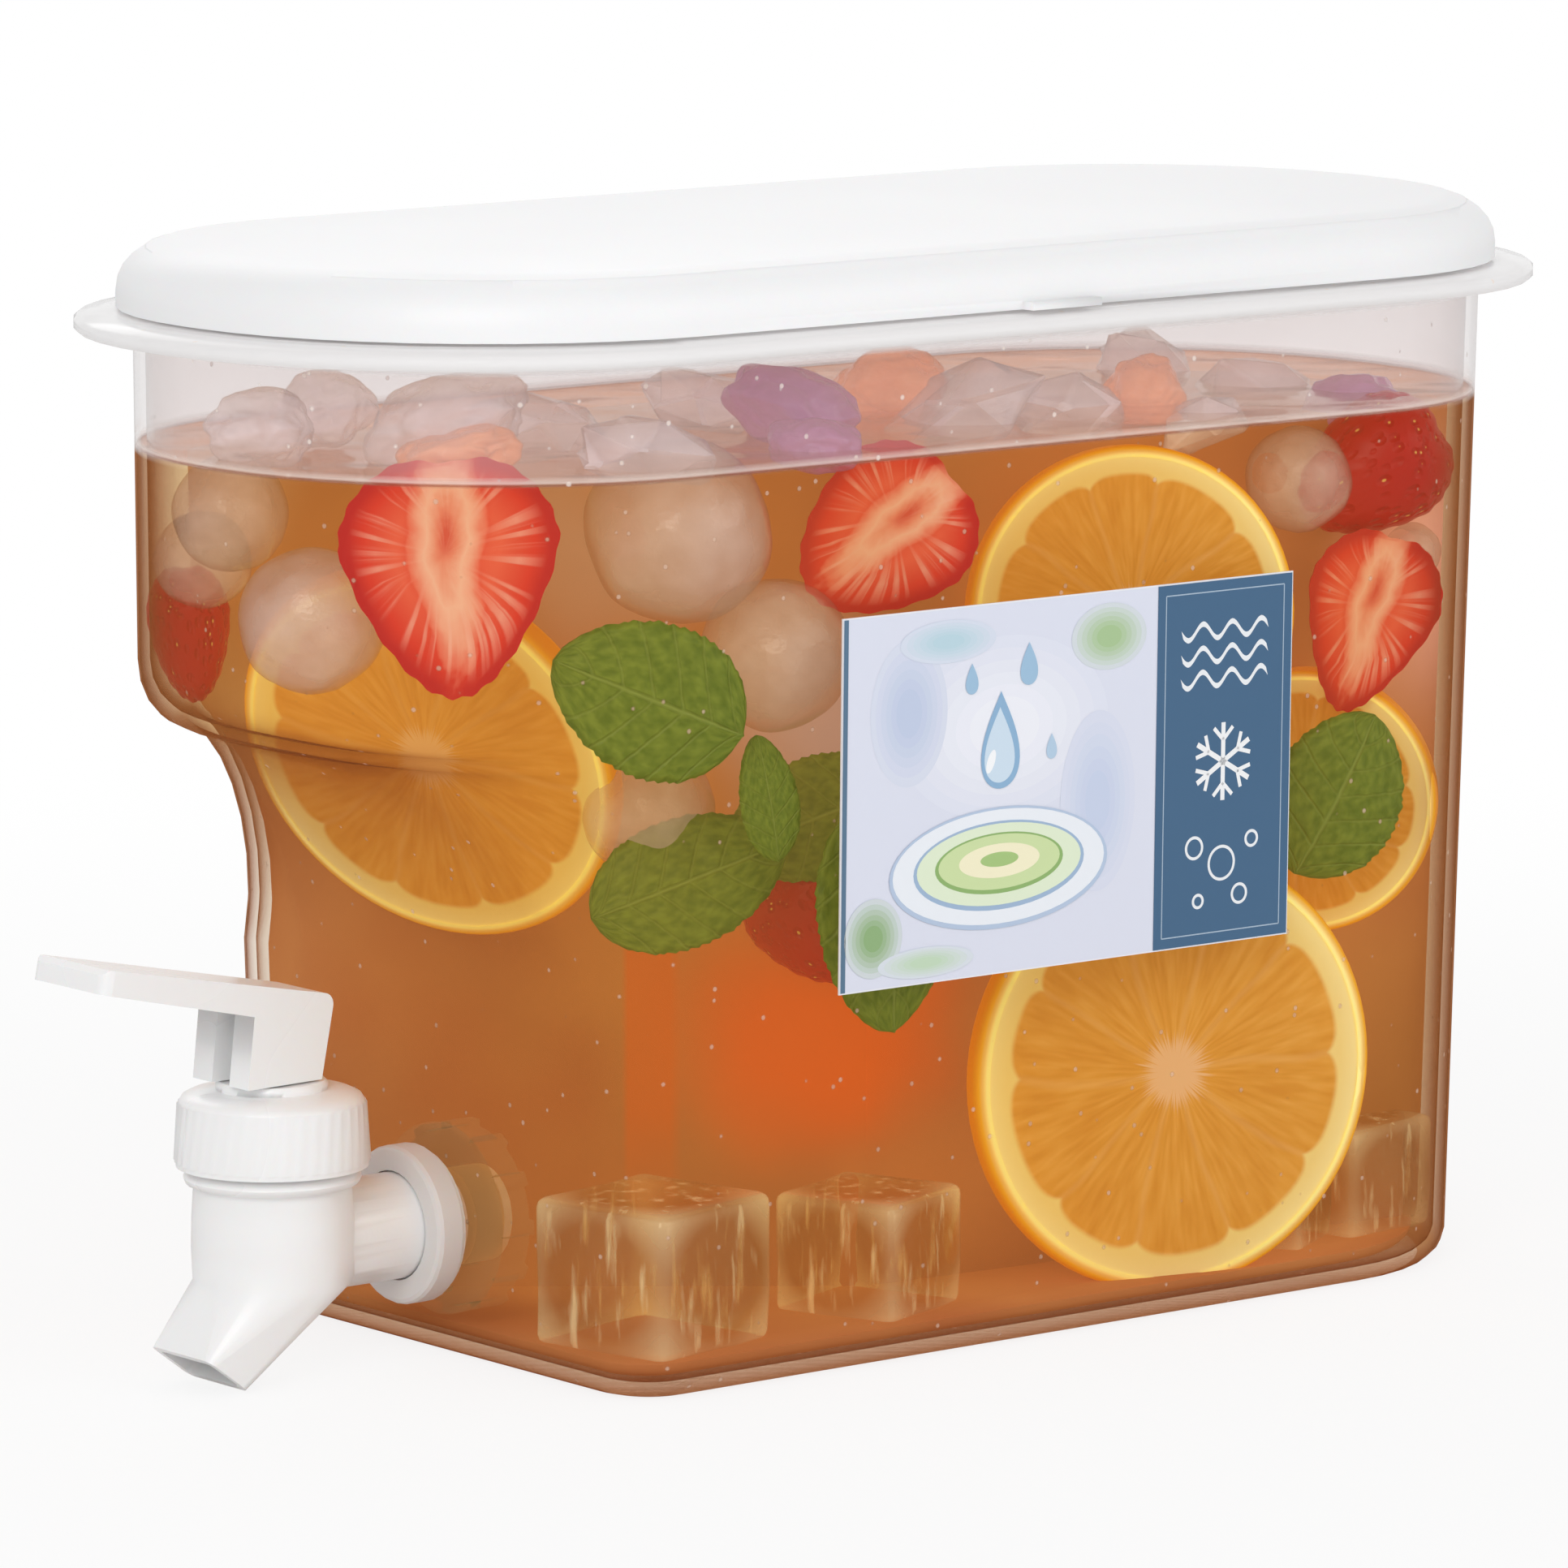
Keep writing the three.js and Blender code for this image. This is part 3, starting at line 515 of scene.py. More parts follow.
# %% The pale field, the blue panel and thin frames
PANEL_WIDE = 0.31 * LABEL_WIDE
panel_x = (LABEL_WIDE - PANEL_WIDE) / 2
field_x = -PANEL_WIDE / 2
flat(FIELD, 1, 0, 0, LABEL_WIDE - 0.5, LABEL_TALL - 0.5, sides=4)
flat(PANEL_BLUE, 5, panel_x, 0, PANEL_WIDE - 0.5, LABEL_TALL - 0.5, sides=4)
flat("#54748f", 5, 0.7 - LABEL_WIDE / 2, 0, 0.9, LABEL_TALL - 0.5, sides=4)
for side in (-1, 1):
    flat(PALE_LINE, 6, panel_x, side * (LABEL_TALL / 2 - 2), PANEL_WIDE - 4, 0.2, sides=4)
    flat(PALE_LINE, 6, panel_x + side * (PANEL_WIDE / 2 - 2), 0, 0.2, LABEL_TALL - 4, sides=4)
print("panel:", round(PANEL_WIDE, 1), "mm wide")

# %% Soft patches of light and leaf green
# columns: colour, x and y, width and height in mm
PATCHES = (("#f1f3fb", -14, 10, 44, 30), ("#c3cfe8", -34, 14, 16, 24), ("#c9d4ec", 6, -4, 16, 30),
           ("#a9c795", 8, 23, 16, 11), ("#bcd8e4", -26, 25, 20, 7), ("#8fb27c", -41, -22, 12, 13),
           ("#c4dcc0", -30, -27, 20, 5))
for number, (tone, x, y, wide, tall) in enumerate(PATCHES):
    blurred(tone, 1.5 + 0.7 * number, x, y, wide, tall)
print("patches:", len(PATCHES))


# %% Ripples and falling drops
def drop(p):
    """Draws a circle's points in to a drop with its tip up."""
    turn = math.atan2(p.x, -p.y)
    return Vector((0.5 * math.sin(turn) * math.cos(turn / 2) ** 1.2, -0.5 * math.cos(turn), 0))


# columns: colour, width and height in mm
RIPPLES = (("#b7c9e2", 46, 20), ("#eef3fa", 44.6, 18.8), ("#9fb9d6", 36, 14.6), ("#e3f0d4", 34.6, 13.4),
           ("#8fb56c", 27, 10), ("#cfe2a8", 25.6, 9), ("#f7f2cf", 17, 5.6), ("#a7c87e", 8, 2.4))
for number, (tone, wide, tall) in enumerate(RIPPLES):
    flat(tone, 7 + 0.4 * number, field_x, -13 + 0.2 * number, wide, tall)
flat("#8db4d6", 7, field_x, 8, 11, 16, form=drop)
flat("#cfe2f2", 7.5, field_x - 0.2, 7.2, 8.6, 12.4, form=drop)
flat("#f9fcff", 8, field_x - 2, 4.6, 1.6, 4, spin=-20)
for tone, x, y, size in (("#9fc2de", -9, 20, 5), ("#9fc2de", -21, 18.5, 3.6), ("#b5cfe6", -4, 6, 3)):
    flat(tone, 7, x, y, size, size * 1.4, form=drop)
print("ripples:", len(RIPPLES))


# %% Waves
def long_strip(p):
    """Spreads a circle's points along the two long edges of a strip, and bends it in three crests."""
    turn = math.atan2(p.y, p.x) / math.pi
    along = 0.5 - abs(turn)
    crest = 1.4 * math.sin(along * math.tau * 3)
    return Vector((along, (0.5 if turn > 0 else -0.5) + crest, 0))


WAVES = 3
for row in range(WAVES):
    flat(NEAR_WHITE, 6, panel_x, 22 - 4 * row, 19, 0.9, sides=96, form=long_strip)
print("waves:", WAVES)

# %% A snow crystal and bubbles
CRYSTAL = "#f4f6f8"
BARBS_AT = 4.6  # millimetres from the crystal's middle
for turn in range(0, 180, 60):
    flat(CRYSTAL, 6, panel_x, 0, 0.9, 13, spin=turn, sides=4)
for turn in range(0, 360, 60):
    way = math.radians(turn)
    for side in (-1, 1):
        arm = Vector((-math.sin(way), math.cos(way)))
        tip = arm * BARBS_AT + Vector((arm.y, -arm.x)) * side
        flat(CRYSTAL, 6.3, panel_x + tip.x, tip.y, 0.7, 3, spin=turn - side * 45, sides=4)
# columns: x and y from the panel's middle, width in mm
BUBBLES = ((-6, -14, 4), (0, -17, 6), (6.5, -13.5, 3), (4, -22.5, 3.6), (-5, -23, 2.6))
for x, y, size in BUBBLES:
    flat(NEAR_WHITE, 6, panel_x + x, y, size)
    flat(PANEL_BLUE, 6.4, panel_x + x, y, size - 1)
print("bubbles:", len(BUBBLES))

# %% Put the film and its print on the jug
bmesh.ops.triangulate(print_shape, faces=print_shape.faces)
for face in print_shape.faces:
    face.normal_update()
bmesh.ops.reverse_faces(print_shape, faces=[f for f in print_shape.faces if f.normal.dot(outward) < 0])
inked(film, film.faces, "#eef0f6")
shown("label_film", film, film_look, "jug", 30, "label_sticker")
shown("label_print", print_shape, film_look, "jug")

# %% [markdown]
# ## The rubber rings and the steel spring
# The outer seal and the valve's cup are soft white silicone: duller than the plastic, and a little
# warm. The seal inside the tank hardly shows in the drink, so it is natural like the nut. The spring is
# drawn steel wire, hidden in the tap, so its finish is kept plain but true.

# %% Silicone and steel
silicone = white_plastic("white_silicone", "#e9e6e0", 3, 0.1, 0.6, 0.2)
for node, look in (("outer_seal", silicone), ("inner_seal", natural)):
    shown("silicone_" + node, merged(node), look, "jug", 30, node)
cup = shown("silicone_seat_cup", merged("seat_cup"), silicone, "jug", 30, "seat_cup")

steel, tree = finish("drawn_steel_wire")
rough = ranged(tree, mottle(tree, here(tree), 1 / (0.4 * MM)), end=(0.25, 0.4))
covers(tree, add(tree, "BsdfPrincipled", {"Base Color": "#c9c9c7", "Metallic": 1, "Roughness": rough}))
spring = shown("steel_spring", merged("return_spring"), steel, "jug", 40, "return_spring")

# %% Cup and spring get meshes of their own, and the share of its length that each would keep as the stem lifts, its top under the collar, is worked out
LIFT, HELD_AT = 3.2 * MM, 44.3 * MM
for piece in (cup, spring):
    length = HELD_AT - min(v.co.z for v in piece.data.vertices)
    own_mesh(piece)
    print(piece.name, "keeps", round(1 - LIFT / length, 3), "of its length")

# %% [markdown]
# ## Finding a place by looking
# The pieces of fruit are set where the picture shows them. A pixel alone gives only a line of sight,
# so each place also says how deep it is: the line is followed to a plane in the tank.

# %% Helpers: a place along a line of sight, and a piece turned to face it
PICTURE = 1932  # the photograph's width and height in pixels
camera_turn = camera.rotation_euler.to_matrix()
across = PICTURE * camera.data.lens / camera.data.sensor_width


def sight(px, py, level, plane="y"):
    """The point in metres seen at this pixel, where its x, y or z is this level in millimetres."""
    way = camera_turn @ Vector(((px - PICTURE / 2) / across, (PICTURE / 2 - py) / across, -1))
    number = "xyz".index(plane)
    return camera.location + way * ((level * MM - camera.location[number]) / way[number])


def laid(centre, swing=38.6, lift=8.7, spin=0):
    """A place for a shape in millimetres: its face looks towards the camera for a swing of 38.6 and
    a lift of 8.7 degrees, and towards the label's side for 0."""
    turned = Matrix.Rotation(math.radians(-swing), 4, "Z") @ Matrix.Rotation(math.radians(90 - lift), 4, "X")
    spun = Matrix.Rotation(math.radians(spin), 4, "Z")
    return Matrix.Translation(centre) @ turned @ spun @ Matrix.Scale(MM, 4)


print("middle of the label's side:", [round(c, 3) for c in sight(1300, 960, -57)])

# %% [markdown]
# ## The drink
# Tea fills the tank to about 22 mm below the rim. A real wall bends the view, so that the drink seems
# to reach its outer skin. This wall doesn't bend, so the drink's body is the tank's own outer skin,
# cut at the waterline and pulled in by a hair's breadth, which fits without measuring. It is a tinted
# volume: light that goes a long way through it turns from pale gold to deep orange, which a painted
# surface couldn't do. A faint glow in the volume is painted light, which stands in for the light that
# the cloudy tea scatters.

# %% Helpers: cut a shape and close it
def cut_off(shape, at, way):
    """Takes away what lies beyond this place along this way."""
    everything = shape.verts[:] + shape.edges[:] + shape.faces[:]
    bmesh.ops.bisect_plane(shape, geom=everything, plane_co=at, plane_no=way, clear_outer=True)


def closed(shape):
    """Closes the open ends and gives back their new faces."""
    rims = [e for e in shape.edges if e.is_boundary]
    return bmesh.ops.holes_fill(shape, edges=rims, sides=0)["faces"]


print("helpers for cutting: cut_off, closed")


# %% Helpers: find the tank's skins
def in_tap_hole(face):
    """Whether this face of the tank lies in the hole for the tap."""
    middle = face.calc_center_median()
    from_axis = math.hypot(middle.y, middle.z - 22 * MM)
    return abs(face.normal.x) < 0.5 and middle.x < -70 * MM and from_axis < 9.6 * MM


def joined_sets(shape):
    """The points of the shape, one set for each of its separate skins."""
    skins = []
    waiting = set(shape.verts)
    while waiting:
        skin = {waiting.pop()}
        frontier = list(skin)
        while frontier:
            near = {v for link in frontier.pop().link_edges for v in link.verts} - skin
            skin |= near
            frontier += near
        waiting -= skin
        skins.append(skin)
    return skins


print("helpers for skins: in_tap_hole, joined_sets")


# %% The drink's shape, from the tank's outer skin
def skin_of_tank(low, high, shrink, outer=False):
    """The tank's inner or outer skin between two heights, scaled by shrink, with open ends."""
    shape = merged("tank")
    for height, side in ((low, -1), (high, 1)):
        if height is not None:
            cut_off(shape, (0, 0, height), (0, 0, side))
    bmesh.ops.delete(shape, geom=[f for f in shape.faces if in_tap_hole(f)], context="FACES")
    skins = sorted(joined_sets(shape), key=lambda skin: max(v.co.y for v in skin))
    kept = skins[-1 if outer else 0]
    bmesh.ops.delete(shape, geom=[v for v in shape.verts if v not in kept], context="VERTS")
    middle = Matrix.Translation((0, 0, -0.5 * ((low or 0) + high)))
    bmesh.ops.scale(shape, vec=(shrink, shrink, shrink), space=middle, verts=shape.verts)
    return shape


tea = skin_of_tank(None, WATERLINE, 0.9975, outer=True)
closed(tea)
bmesh.ops.recalc_face_normals(tea, faces=tea.faces)
print("drink, litres:", round(tea.calc_volume() * 1000, 2))
print("open edges:", sum(e.is_boundary for e in tea.edges))


# %% The volume of tea, and the skins that hold it
def holds_tea(tree, skin):
    """A skin with tea behind it, which soaks up light on its way and has a faint painted glow that stands in
    for the light scattered in the cloudy tea.
    """
    soak = add(tree, "VolumeAbsorption", {"Color": (0.84, 0.68, 0.22, 1), "Density": 20})
    cloud = add(tree, "Emission", {"Color": (1, 0.64, 0.24, 1), "Strength": 2})
    add(tree, "OutputMaterial", {"Surface": skin, "Volume": add(tree, "AddShader", {0: soak, 1: cloud})})


# At a glance, real tea bends the view along itself, so its upright edges look as deep as its middle.
tea_look, tree = finish("clear_black_tea")
level = calc(tree, "ABSOLUTE", axis(tree, add(tree, "NewGeometry").outputs["Normal"], "Z"))
upright = ranged(tree, level, (0.3, 0.8), (1, 0.1))
glance = calc(tree, "MULTIPLY", calc(tree, "POWER", facing(tree), 6), upright)
holds_tea(tree, glass(tree, blend(tree, glance, "#ffffff", "#a05c30")))

surface_look, tree = finish("rippled_tea_surface")
ripple = bumps(tree, mottle(tree, here(tree), 1 / (18 * MM), 1), 0.4, 4 * MM)
seen = facing(tree, ripple)
holds_tea(tree, coated(tree, glass(tree), seen, 4, (0.03, 0.85), "#eadcd4", 0.12, ripple))
print("nodes of the tea's surface:", len(tree.nodes))


# %% Stage the drink
def staged(name, shape, materials, hard=180, shades=True):
    """A piece of the set dressing. See-through pieces shade nothing, because lamps would have to find
    their way through every skin."""
    thing = piece_of(name, shape, materials if isinstance(materials, tuple) else (materials,), hard)
    thing.visible_shadow = shades
    return thing


for face in tea.faces:
    face.material_index = int(face.normal.z > 0.9)
drink = staged("drink", tea, (tea_look, surface_look), 30, shades=False)
print("drink's top at", round(max(v.co.z for v in drink.data.vertices) / MM, 1), "mm")

# %% [markdown]
# ## The cloudy middle of the drink
# Tea that fruit has steeped in isn't clear: past a few centimetres nothing is seen but its own tone,
# which changes from place to place with the fruit behind and with the light that comes through from
# behind. A matt body behind the fruit stands in for that, with its tones spread round places in the
# picture; its bright orange tones and its glow are painted light. It is the shape of the tank's
# inside, cut back on the side of the fruit, with a thin layer over the whole floor.

# %% Tones of the deep drink, with painted light
# columns: colour, place in the picture as x, y and depth y in mm, full to this radius and none from
# this radius in mm
DEEP_TONES_AND_PAINTED_LIGHT = (
    ("#efe7d0", 215, 610, 30, 8, 30), ("#a33a2b", 215, 780, 30, 8, 24), ("#c09e74", 360, 880, 22, 5, 28),
    ("#b8a0b1", 740, 690, -10, 8, 34), ("#bba2b7", 1000, 900, -18, 5, 25),
    ("#aa6e41", 330, 1110, 28, 6, 22), ("#a14e28", 480, 1330, 8, 10, 34),
    ("#a74d2d", 680, 1340, -5, 6, 24), ("#ca5010", 800, 1290, -15, 1, 20),
    ("#ca5010", 800, 1420, -15, 1, 18), ("#d65b16", 985, 1270, -18, 8, 34),
    ("#bb7544", 1090, 1490, -18, 3, 22), ("#9b5b34", 560, 1600, 2, 4, 26),
    ("#a05e36", 1250, 1600, -18, 6, 30), ("#9e6537", 1760, 1300, -30, 8, 40),
    ("#e3aca7", 1780, 700, -30, 6, 34))
deep_tea_painted_light, tree = finish("cloudy_deep_tea_painted_light")
place = here(tree)
billow = mottle(tree, place, 1 / (45 * MM))
soft_place = vec(tree, "SUBTRACT", billow.outputs["Color"], (0.5, 0.5, 0.5))
soft_place = vec(tree, "MULTIPLY_ADD", soft_place, (0.03, 0.03, 0.03), place)
tone = ramp(tree, billow, (0.35, "#a8663e"), (0.65, "#b57848"))
for colour, px, py, depth, full, none in DEEP_TONES_AND_PAINTED_LIGHT:
    away = vec(tree, "DISTANCE", soft_place, tuple(sight(px, py, depth)))
    share = ranged(tree, away, (full * MM, none * MM), (0.95, 0), smooth=True)
    tone = blend(tree, share, tone, colour)
print("tones:", len(DEEP_TONES_AND_PAINTED_LIGHT))

# %% A painted bright band beside the front corner
# The tank's upright front corner bends the light, so a bright band with sharp sides stands beside it;
# here it is painted light on the deep body.
ASIDE = Vector((0.785, -0.62, 0))  # to the right in the picture, seen from above
BAND_LEFT, BAND_RIGHT = (sight(px, 1330, -15).dot(ASIDE) for px in (768, 832))
BAND_FOOT, BAND_TOP = sight(800, 1460, -15).z, sight(800, 1150, -15).z
aside = vec(tree, "DOT_PRODUCT", place, tuple(ASIDE))
level = axis(tree, place, "Z")
towards_back = axis(tree, add(tree, "NewGeometry").outputs["Normal"], "Y")
painted_bright_band = ranged(tree, towards_back, (0, -0.3), (0, 0.75))
# columns: what is measured, the band's border, how softly it comes in there in mm
BORDERS = ((aside, BAND_LEFT, 0.5), (aside, BAND_RIGHT, -1), (level, BAND_FOOT, 8), (level, BAND_TOP, -6))
for measured, border, soft in BORDERS:
    inside = ranged(tree, measured, (border - soft * MM, border + soft * MM))
    painted_bright_band = calc(tree, "MULTIPLY", painted_bright_band, inside)
tone = blend(tree, painted_bright_band, tone, "#ca5c0e")
# The body's glow of half its colour is painted light.
covers(tree, solid(tree, tone, 1, 0.5, {"Specular IOR Level": 0}))
print("band, mm wide:", round((BAND_RIGHT - BAND_LEFT) / MM, 1))

# %% Its body: the tank's inside, cut back
LOOK = Vector((0.62, 0.785, 0))  # the way that the camera looks, seen from above
NEAR_CUT = (Vector((-45 * MM, -18 * MM, 0)), Vector((-0.1, -1, 0)))
LEFT_CUT = (LOOK * -22 * MM, -LOOK)


def deep_body(name, top, shares, lift, cuts):
    """A body of cloudy tea with painted light up to this height, a little smaller than the tank's inside."""
    shape = skin_of_tank(None, top, 0.9985)
    closed(shape)
    bmesh.ops.transform(shape, matrix=Matrix.Diagonal(shares + (1,)), verts=shape.verts)
    bmesh.ops.translate(shape, vec=(0, 0, lift), verts=shape.verts)
    for at, way in cuts:
        cut_off(shape, at, way)
        closed(shape)
        bmesh.ops.recalc_face_normals(shape, faces=shape.faces)
    staged(name, shape, deep_tea_painted_light, 60, shades=False)


deep_body("drink_middle", WATERLINE, (0.985, 0.968, 0.972), 0.8 * MM, (NEAR_CUT, LEFT_CUT))
deep_body("drink_at_the_floor", 5 * MM, (0.975, 0.94, 0.9), 0.5 * MM, ())

# %% The drink's edge, which climbs the wall a little, with a painted dark line and a painted highlight above it
EDGE = (WATERLINE - 0.5 * MM, WATERLINE + 1.3 * MM)
edge_painted_shade_and_highlight, tree = finish("climbing_edge_of_tea_painted_shade_and_highlight")
climb = ranged(tree, axis(tree, here(tree), "Z"), EDGE)
tone = ramp(tree, climb, (0, "#8a5238"), (0.3, "#8a5238"), (0.5, "#efe2da"), (1, "#efe2da"))
share = ramp(tree, climb, (0, 0), (0.25, 0.6), (1, 0.05))
covers(tree, mixed(tree, share, glass(tree), solid(tree, tone, 0.3, 0.3)))
staged("edge_of_drink", skin_of_tank(*EDGE, 0.9965, outer=True), edge_painted_shade_and_highlight, shades=False)

# %% Mist inside the empty part of the wall, above the drink
MIST_TO = 169.5 * MM
mist, tree = finish("breath_of_mist")
thick = ranged(tree, mottle(tree, here(tree), 1 / (25 * MM), 3), end=(0.12, 0.26))
covers(tree, mixed(tree, thick, glass(tree), solid(tree, "#e6dad8", 0.9, 0.3)))
staged("mist_on_wall", skin_of_tank(WATERLINE, MIST_TO, 0.9985), mist, shades=False)

# %% [markdown]
# ## Fruit patterns
# A cut strawberry or orange has a pattern that follows its own shape: rings from the rind inwards
# and lines that run out from the middle. Before each shape is put in its place, its plain
# coordinates are stored on its points, and the finish reads those, so the pattern can't slide.

# %% Helpers: keep a shape's own coordinates, and read them in a finish
def placed(shape, place, form):
    """Stores the shape's own coordinates, forms it point by point and puts it in its place."""
    own = shape.verts.layers.float_vector.new("own")
    for vert in shape.verts:
        vert[own] = vert.co
        vert.co = form(vert.co)
    bmesh.ops.transform(shape, matrix=place, verts=shape.verts)
    return shape


def own_place(tree):
    """The shape's own coordinates, as they were stored."""
    return add(tree, "Attribute", attribute_name="own").outputs["Vector"]


def rings(tree):
    """The own coordinates: as a vector, as the way out from the middle, its length and its angle."""
    own = own_place(tree)
    level = vec(tree, "MULTIPLY", own, (1, 1, 0))
    parts = add(tree, "SeparateXYZ", {0: level})
    angle = calc(tree, "ARCTAN2", parts.outputs["Y"], parts.outputs["X"])
    return own, vec(tree, "NORMALIZE", level), vec(tree, "LENGTH", level), angle


print("helpers for fruit: placed, own_place, rings")

# %% A wet surface
# The glow is painted light: it stands in for light that wet fruit passes on, and lifts the shade inside the
# tank.
GLOW = 0.28  # light that wet fruit passes on, as a share of its own colour


def wet(tree, colour, roughness, through, normal=None):
    """Wet fruit or leaf: a soft gloss, and a share of light that comes through from behind."""
    body = solid(tree, colour, roughness, GLOW, {"IOR": 1.35} | ({"Normal": normal} if normal else {}))
    covers(tree, mixed(tree, through, body, add(tree, "BsdfTranslucent", {"Color": colour})))


print("glow of wet fruit:", GLOW)

# %% [markdown]
# ## Orange slices
# A slice has a thin bright zest, a broad pale pith ring, and about ten wedges of juice sacs between
# thin pale skins. The wedges come from the angle, cut into ten, with their outer corners rounded,
# and the sacs from noise that is stretched along the way out from the middle.

# %% Orange: where the wedges are
WEDGES = 10
ripe, tree = finish("ripe_orange")
own, way, out, angle = rings(tree)
swing = calc(tree, "MULTIPLY", mottle(tree, own, 1.2, 1), 0.9)
turned = calc(tree, "MULTIPLY_ADD", angle, WEDGES / math.tau, swing)
part = calc(tree, "SUBTRACT", calc(tree, "FRACT", turned), 0.5)
side = calc(tree, "MULTIPLY", calc(tree, "ABSOLUTE", part), 2)
edge = calc(tree, "MULTIPLY_ADD", calc(tree, "POWER", side, 5), 0.05, out)
to_skin = calc(tree, "MULTIPLY_ADD", side, -math.pi / WEDGES, math.pi / WEDGES)
gap = calc(tree, "MULTIPLY", to_skin, out)
print("wedges:", WEDGES)

# %% Orange: juice sacs, skins, star, pith and zest
drawn = vec(tree, "MULTIPLY_ADD", own, (3, 3, 3), vec(tree, "MULTIPLY", way, (9, 9, 9)))
sac = ramp(tree, mottle(tree, drawn, 1.6, 3), (0.3, "#dea23a"), (0.5, "#e6ae46"), (0.75, "#eebc58"))
wedge = blend(tree, ranged(tree, gap, (0, 0.03), (0.78, 1), smooth=True), "#f3d08a", sac)
rays = mottle(tree, vec(tree, "MULTIPLY", way, (4, 4, 4)), 5)
star = ranged(tree, calc(tree, "MULTIPLY_ADD", rays, -0.28, out), (-0.03, 0.04), smooth=True)
cut = blend(tree, star, "#f2cf9c", wedge)
in_pith = ranged(tree, edge, (0.815, 0.85), smooth=True)
ring = ramp(tree, out, (0.84, "#f8ea98"), (0.945, "#fdf8b4"), (0.98, "#fac42e"), (1, "#eca01c"))
wet(tree, blend(tree, in_pith, cut, ring), 0.35, 0.3)
print("orange nodes:", len(tree.nodes))


# %% Orange: the slices
def rounded(shape, edges, offset, segments):
    """Rounds these edges."""
    bmesh.ops.bevel(shape, geom=edges, offset=offset, segments=segments, profile=0.5, affect="EDGES",
                    material=-1)


def orange_slice(name, place, radius, thick):
    """A slice of orange with a rounded rim, radius and thickness in millimetres."""
    shape = bmesh.new()
    bmesh.ops.create_cone(shape, cap_ends=True, segments=72, radius1=1, radius2=1, depth=thick / radius)
    rims = [e for e in shape.edges if abs(e.verts[0].co.z - e.verts[1].co.z) < 1e-6]
    rounded(shape, rims, 0.04, 3)
    caps = [f for f in shape.faces if abs(f.normal.z) > 0.9]
    bmesh.ops.inset_region(shape, faces=caps, thickness=0.05)
    staged(name, placed(shape, place, lambda p: p * radius), ripe, 40)


# columns: name, pixel x and y, level in mm on the x or y axis, swing, lift and spin in degrees, radius
# and thickness in mm
SLICES = (("slice_low", 1440, 1318, -44, "y", 13, 1, 20, 37.2, 4.5),
          ("slice_high", 1392, 756, -41, "y", 25, 4, 55, 28, 4.5),
          ("slice_left", 533, 925, -75, "x", 66, -22, 10, 34, 4.5),
          ("slice_edge", 1608, 985, -33, "y", 46, 0, 30, 22.5, 6))
for name, px, py, depth, plane, swing, lift, spin, radius, thick in SLICES:
    orange_slice(name, laid(sight(px, py, depth, plane), swing, lift, spin), radius, thick)

# %% [markdown]
# ## Strawberries
# A strawberry is a ball that tapers to a tip, and a half is the same ball cut through its middle. The
# cut face shows a red heart in a pale band, and pale threads that run out to the seeds. The skin is
# deep red with seeds in small pits.

# %% The cut face of a strawberry
berry_cut, tree = finish("cut_strawberry")
own, way, out, _ = rings(tree)
threads = mottle(tree, vec(tree, "MULTIPLY", way, (9, 9, 9)), 1)
thread = ranged(tree, threads, (0.47, 0.62), smooth=True)
pale = calc(tree, "MULTIPLY", thread, ramp(tree, out, (0.4, 0.1), (0.68, 0.5), (0.93, 0)))
narrow = vec(tree, "ADD", vec(tree, "MULTIPLY", own, (2.2, 0.75, 0)), (0, -0.12, 0))
heart = calc(tree, "MULTIPLY_ADD", mottle(tree, own, 4, 3), 0.35, vec(tree, "LENGTH", narrow))
middle = ramp(tree, heart, (0.2, "#de5a42"), (0.36, "#ee8e6e"), (0.6, "#f9c3a2"), (0.95, "#f08466"),
              (1.15, "#e4482f"))
flesh = ramp(tree, out, (0.5, "#ee6648"), (0.8, "#e03c28"), (0.95, "#c42420"))
outside = ranged(tree, heart, (0.7, 1.2), smooth=True)
cut = blend(tree, pale, blend(tree, outside, middle, flesh), "#fbc8ae")
wet(tree, cut, 0.35, 0.2)
print("cut face nodes:", len(tree.nodes))

# %% Its skin with seeds
berry_skin, tree = finish("seeded_strawberry_skin")
seed = add(tree, "TexVoronoi", {"Vector": own_place(tree), "Scale": 5.5}).outputs["Distance"]
skin = blend(tree, ranged(tree, seed, (0.09, 0.15)), "#e0b060", "#b8141c")
wet(tree, skin, 0.3, 0.15, bumps(tree, ranged(tree, seed, (0.1, 0.45)), 0.6, 1 * MM))
print("skin nodes:", len(tree.nodes))


# %% Helper: a strawberry
def strawberry(name, place, wide, tall, taper, half):
    """A strawberry, or its half with the cut face forward, its width and height in millimetres."""
    shape = bmesh.new()
    bmesh.ops.create_uvsphere(shape, u_segments=96, v_segments=32, radius=1)
    if half:
        cut_off(shape, (0, 0, 0), (0, 0, 1))
        bmesh.ops.inset_region(shape, faces=closed(shape), thickness=0.04)
        for face in shape.faces:
            face.material_index = int(face.normal.z > 0.99)

    def tapered(p):
        narrow = 1 - taper * max(0, -p.y)
        seeded = 1 + 0.012 * math.sin(22 * math.atan2(p.y, p.x)) * min(1, 2 * math.hypot(p.x, p.y))
        long_way = (0.62 if p.y < 0 else 0.38 * (1 - 0.12 * math.exp(-12 * p.x * p.x))) * tall
        return Vector((p.x * narrow * seeded * wide / 2, p.y * seeded * long_way, p.z * narrow * wide / 2.4))

    staged(name, placed(shape, place, tapered), (berry_skin, berry_cut), 40)


print("helper for strawberries: strawberry")

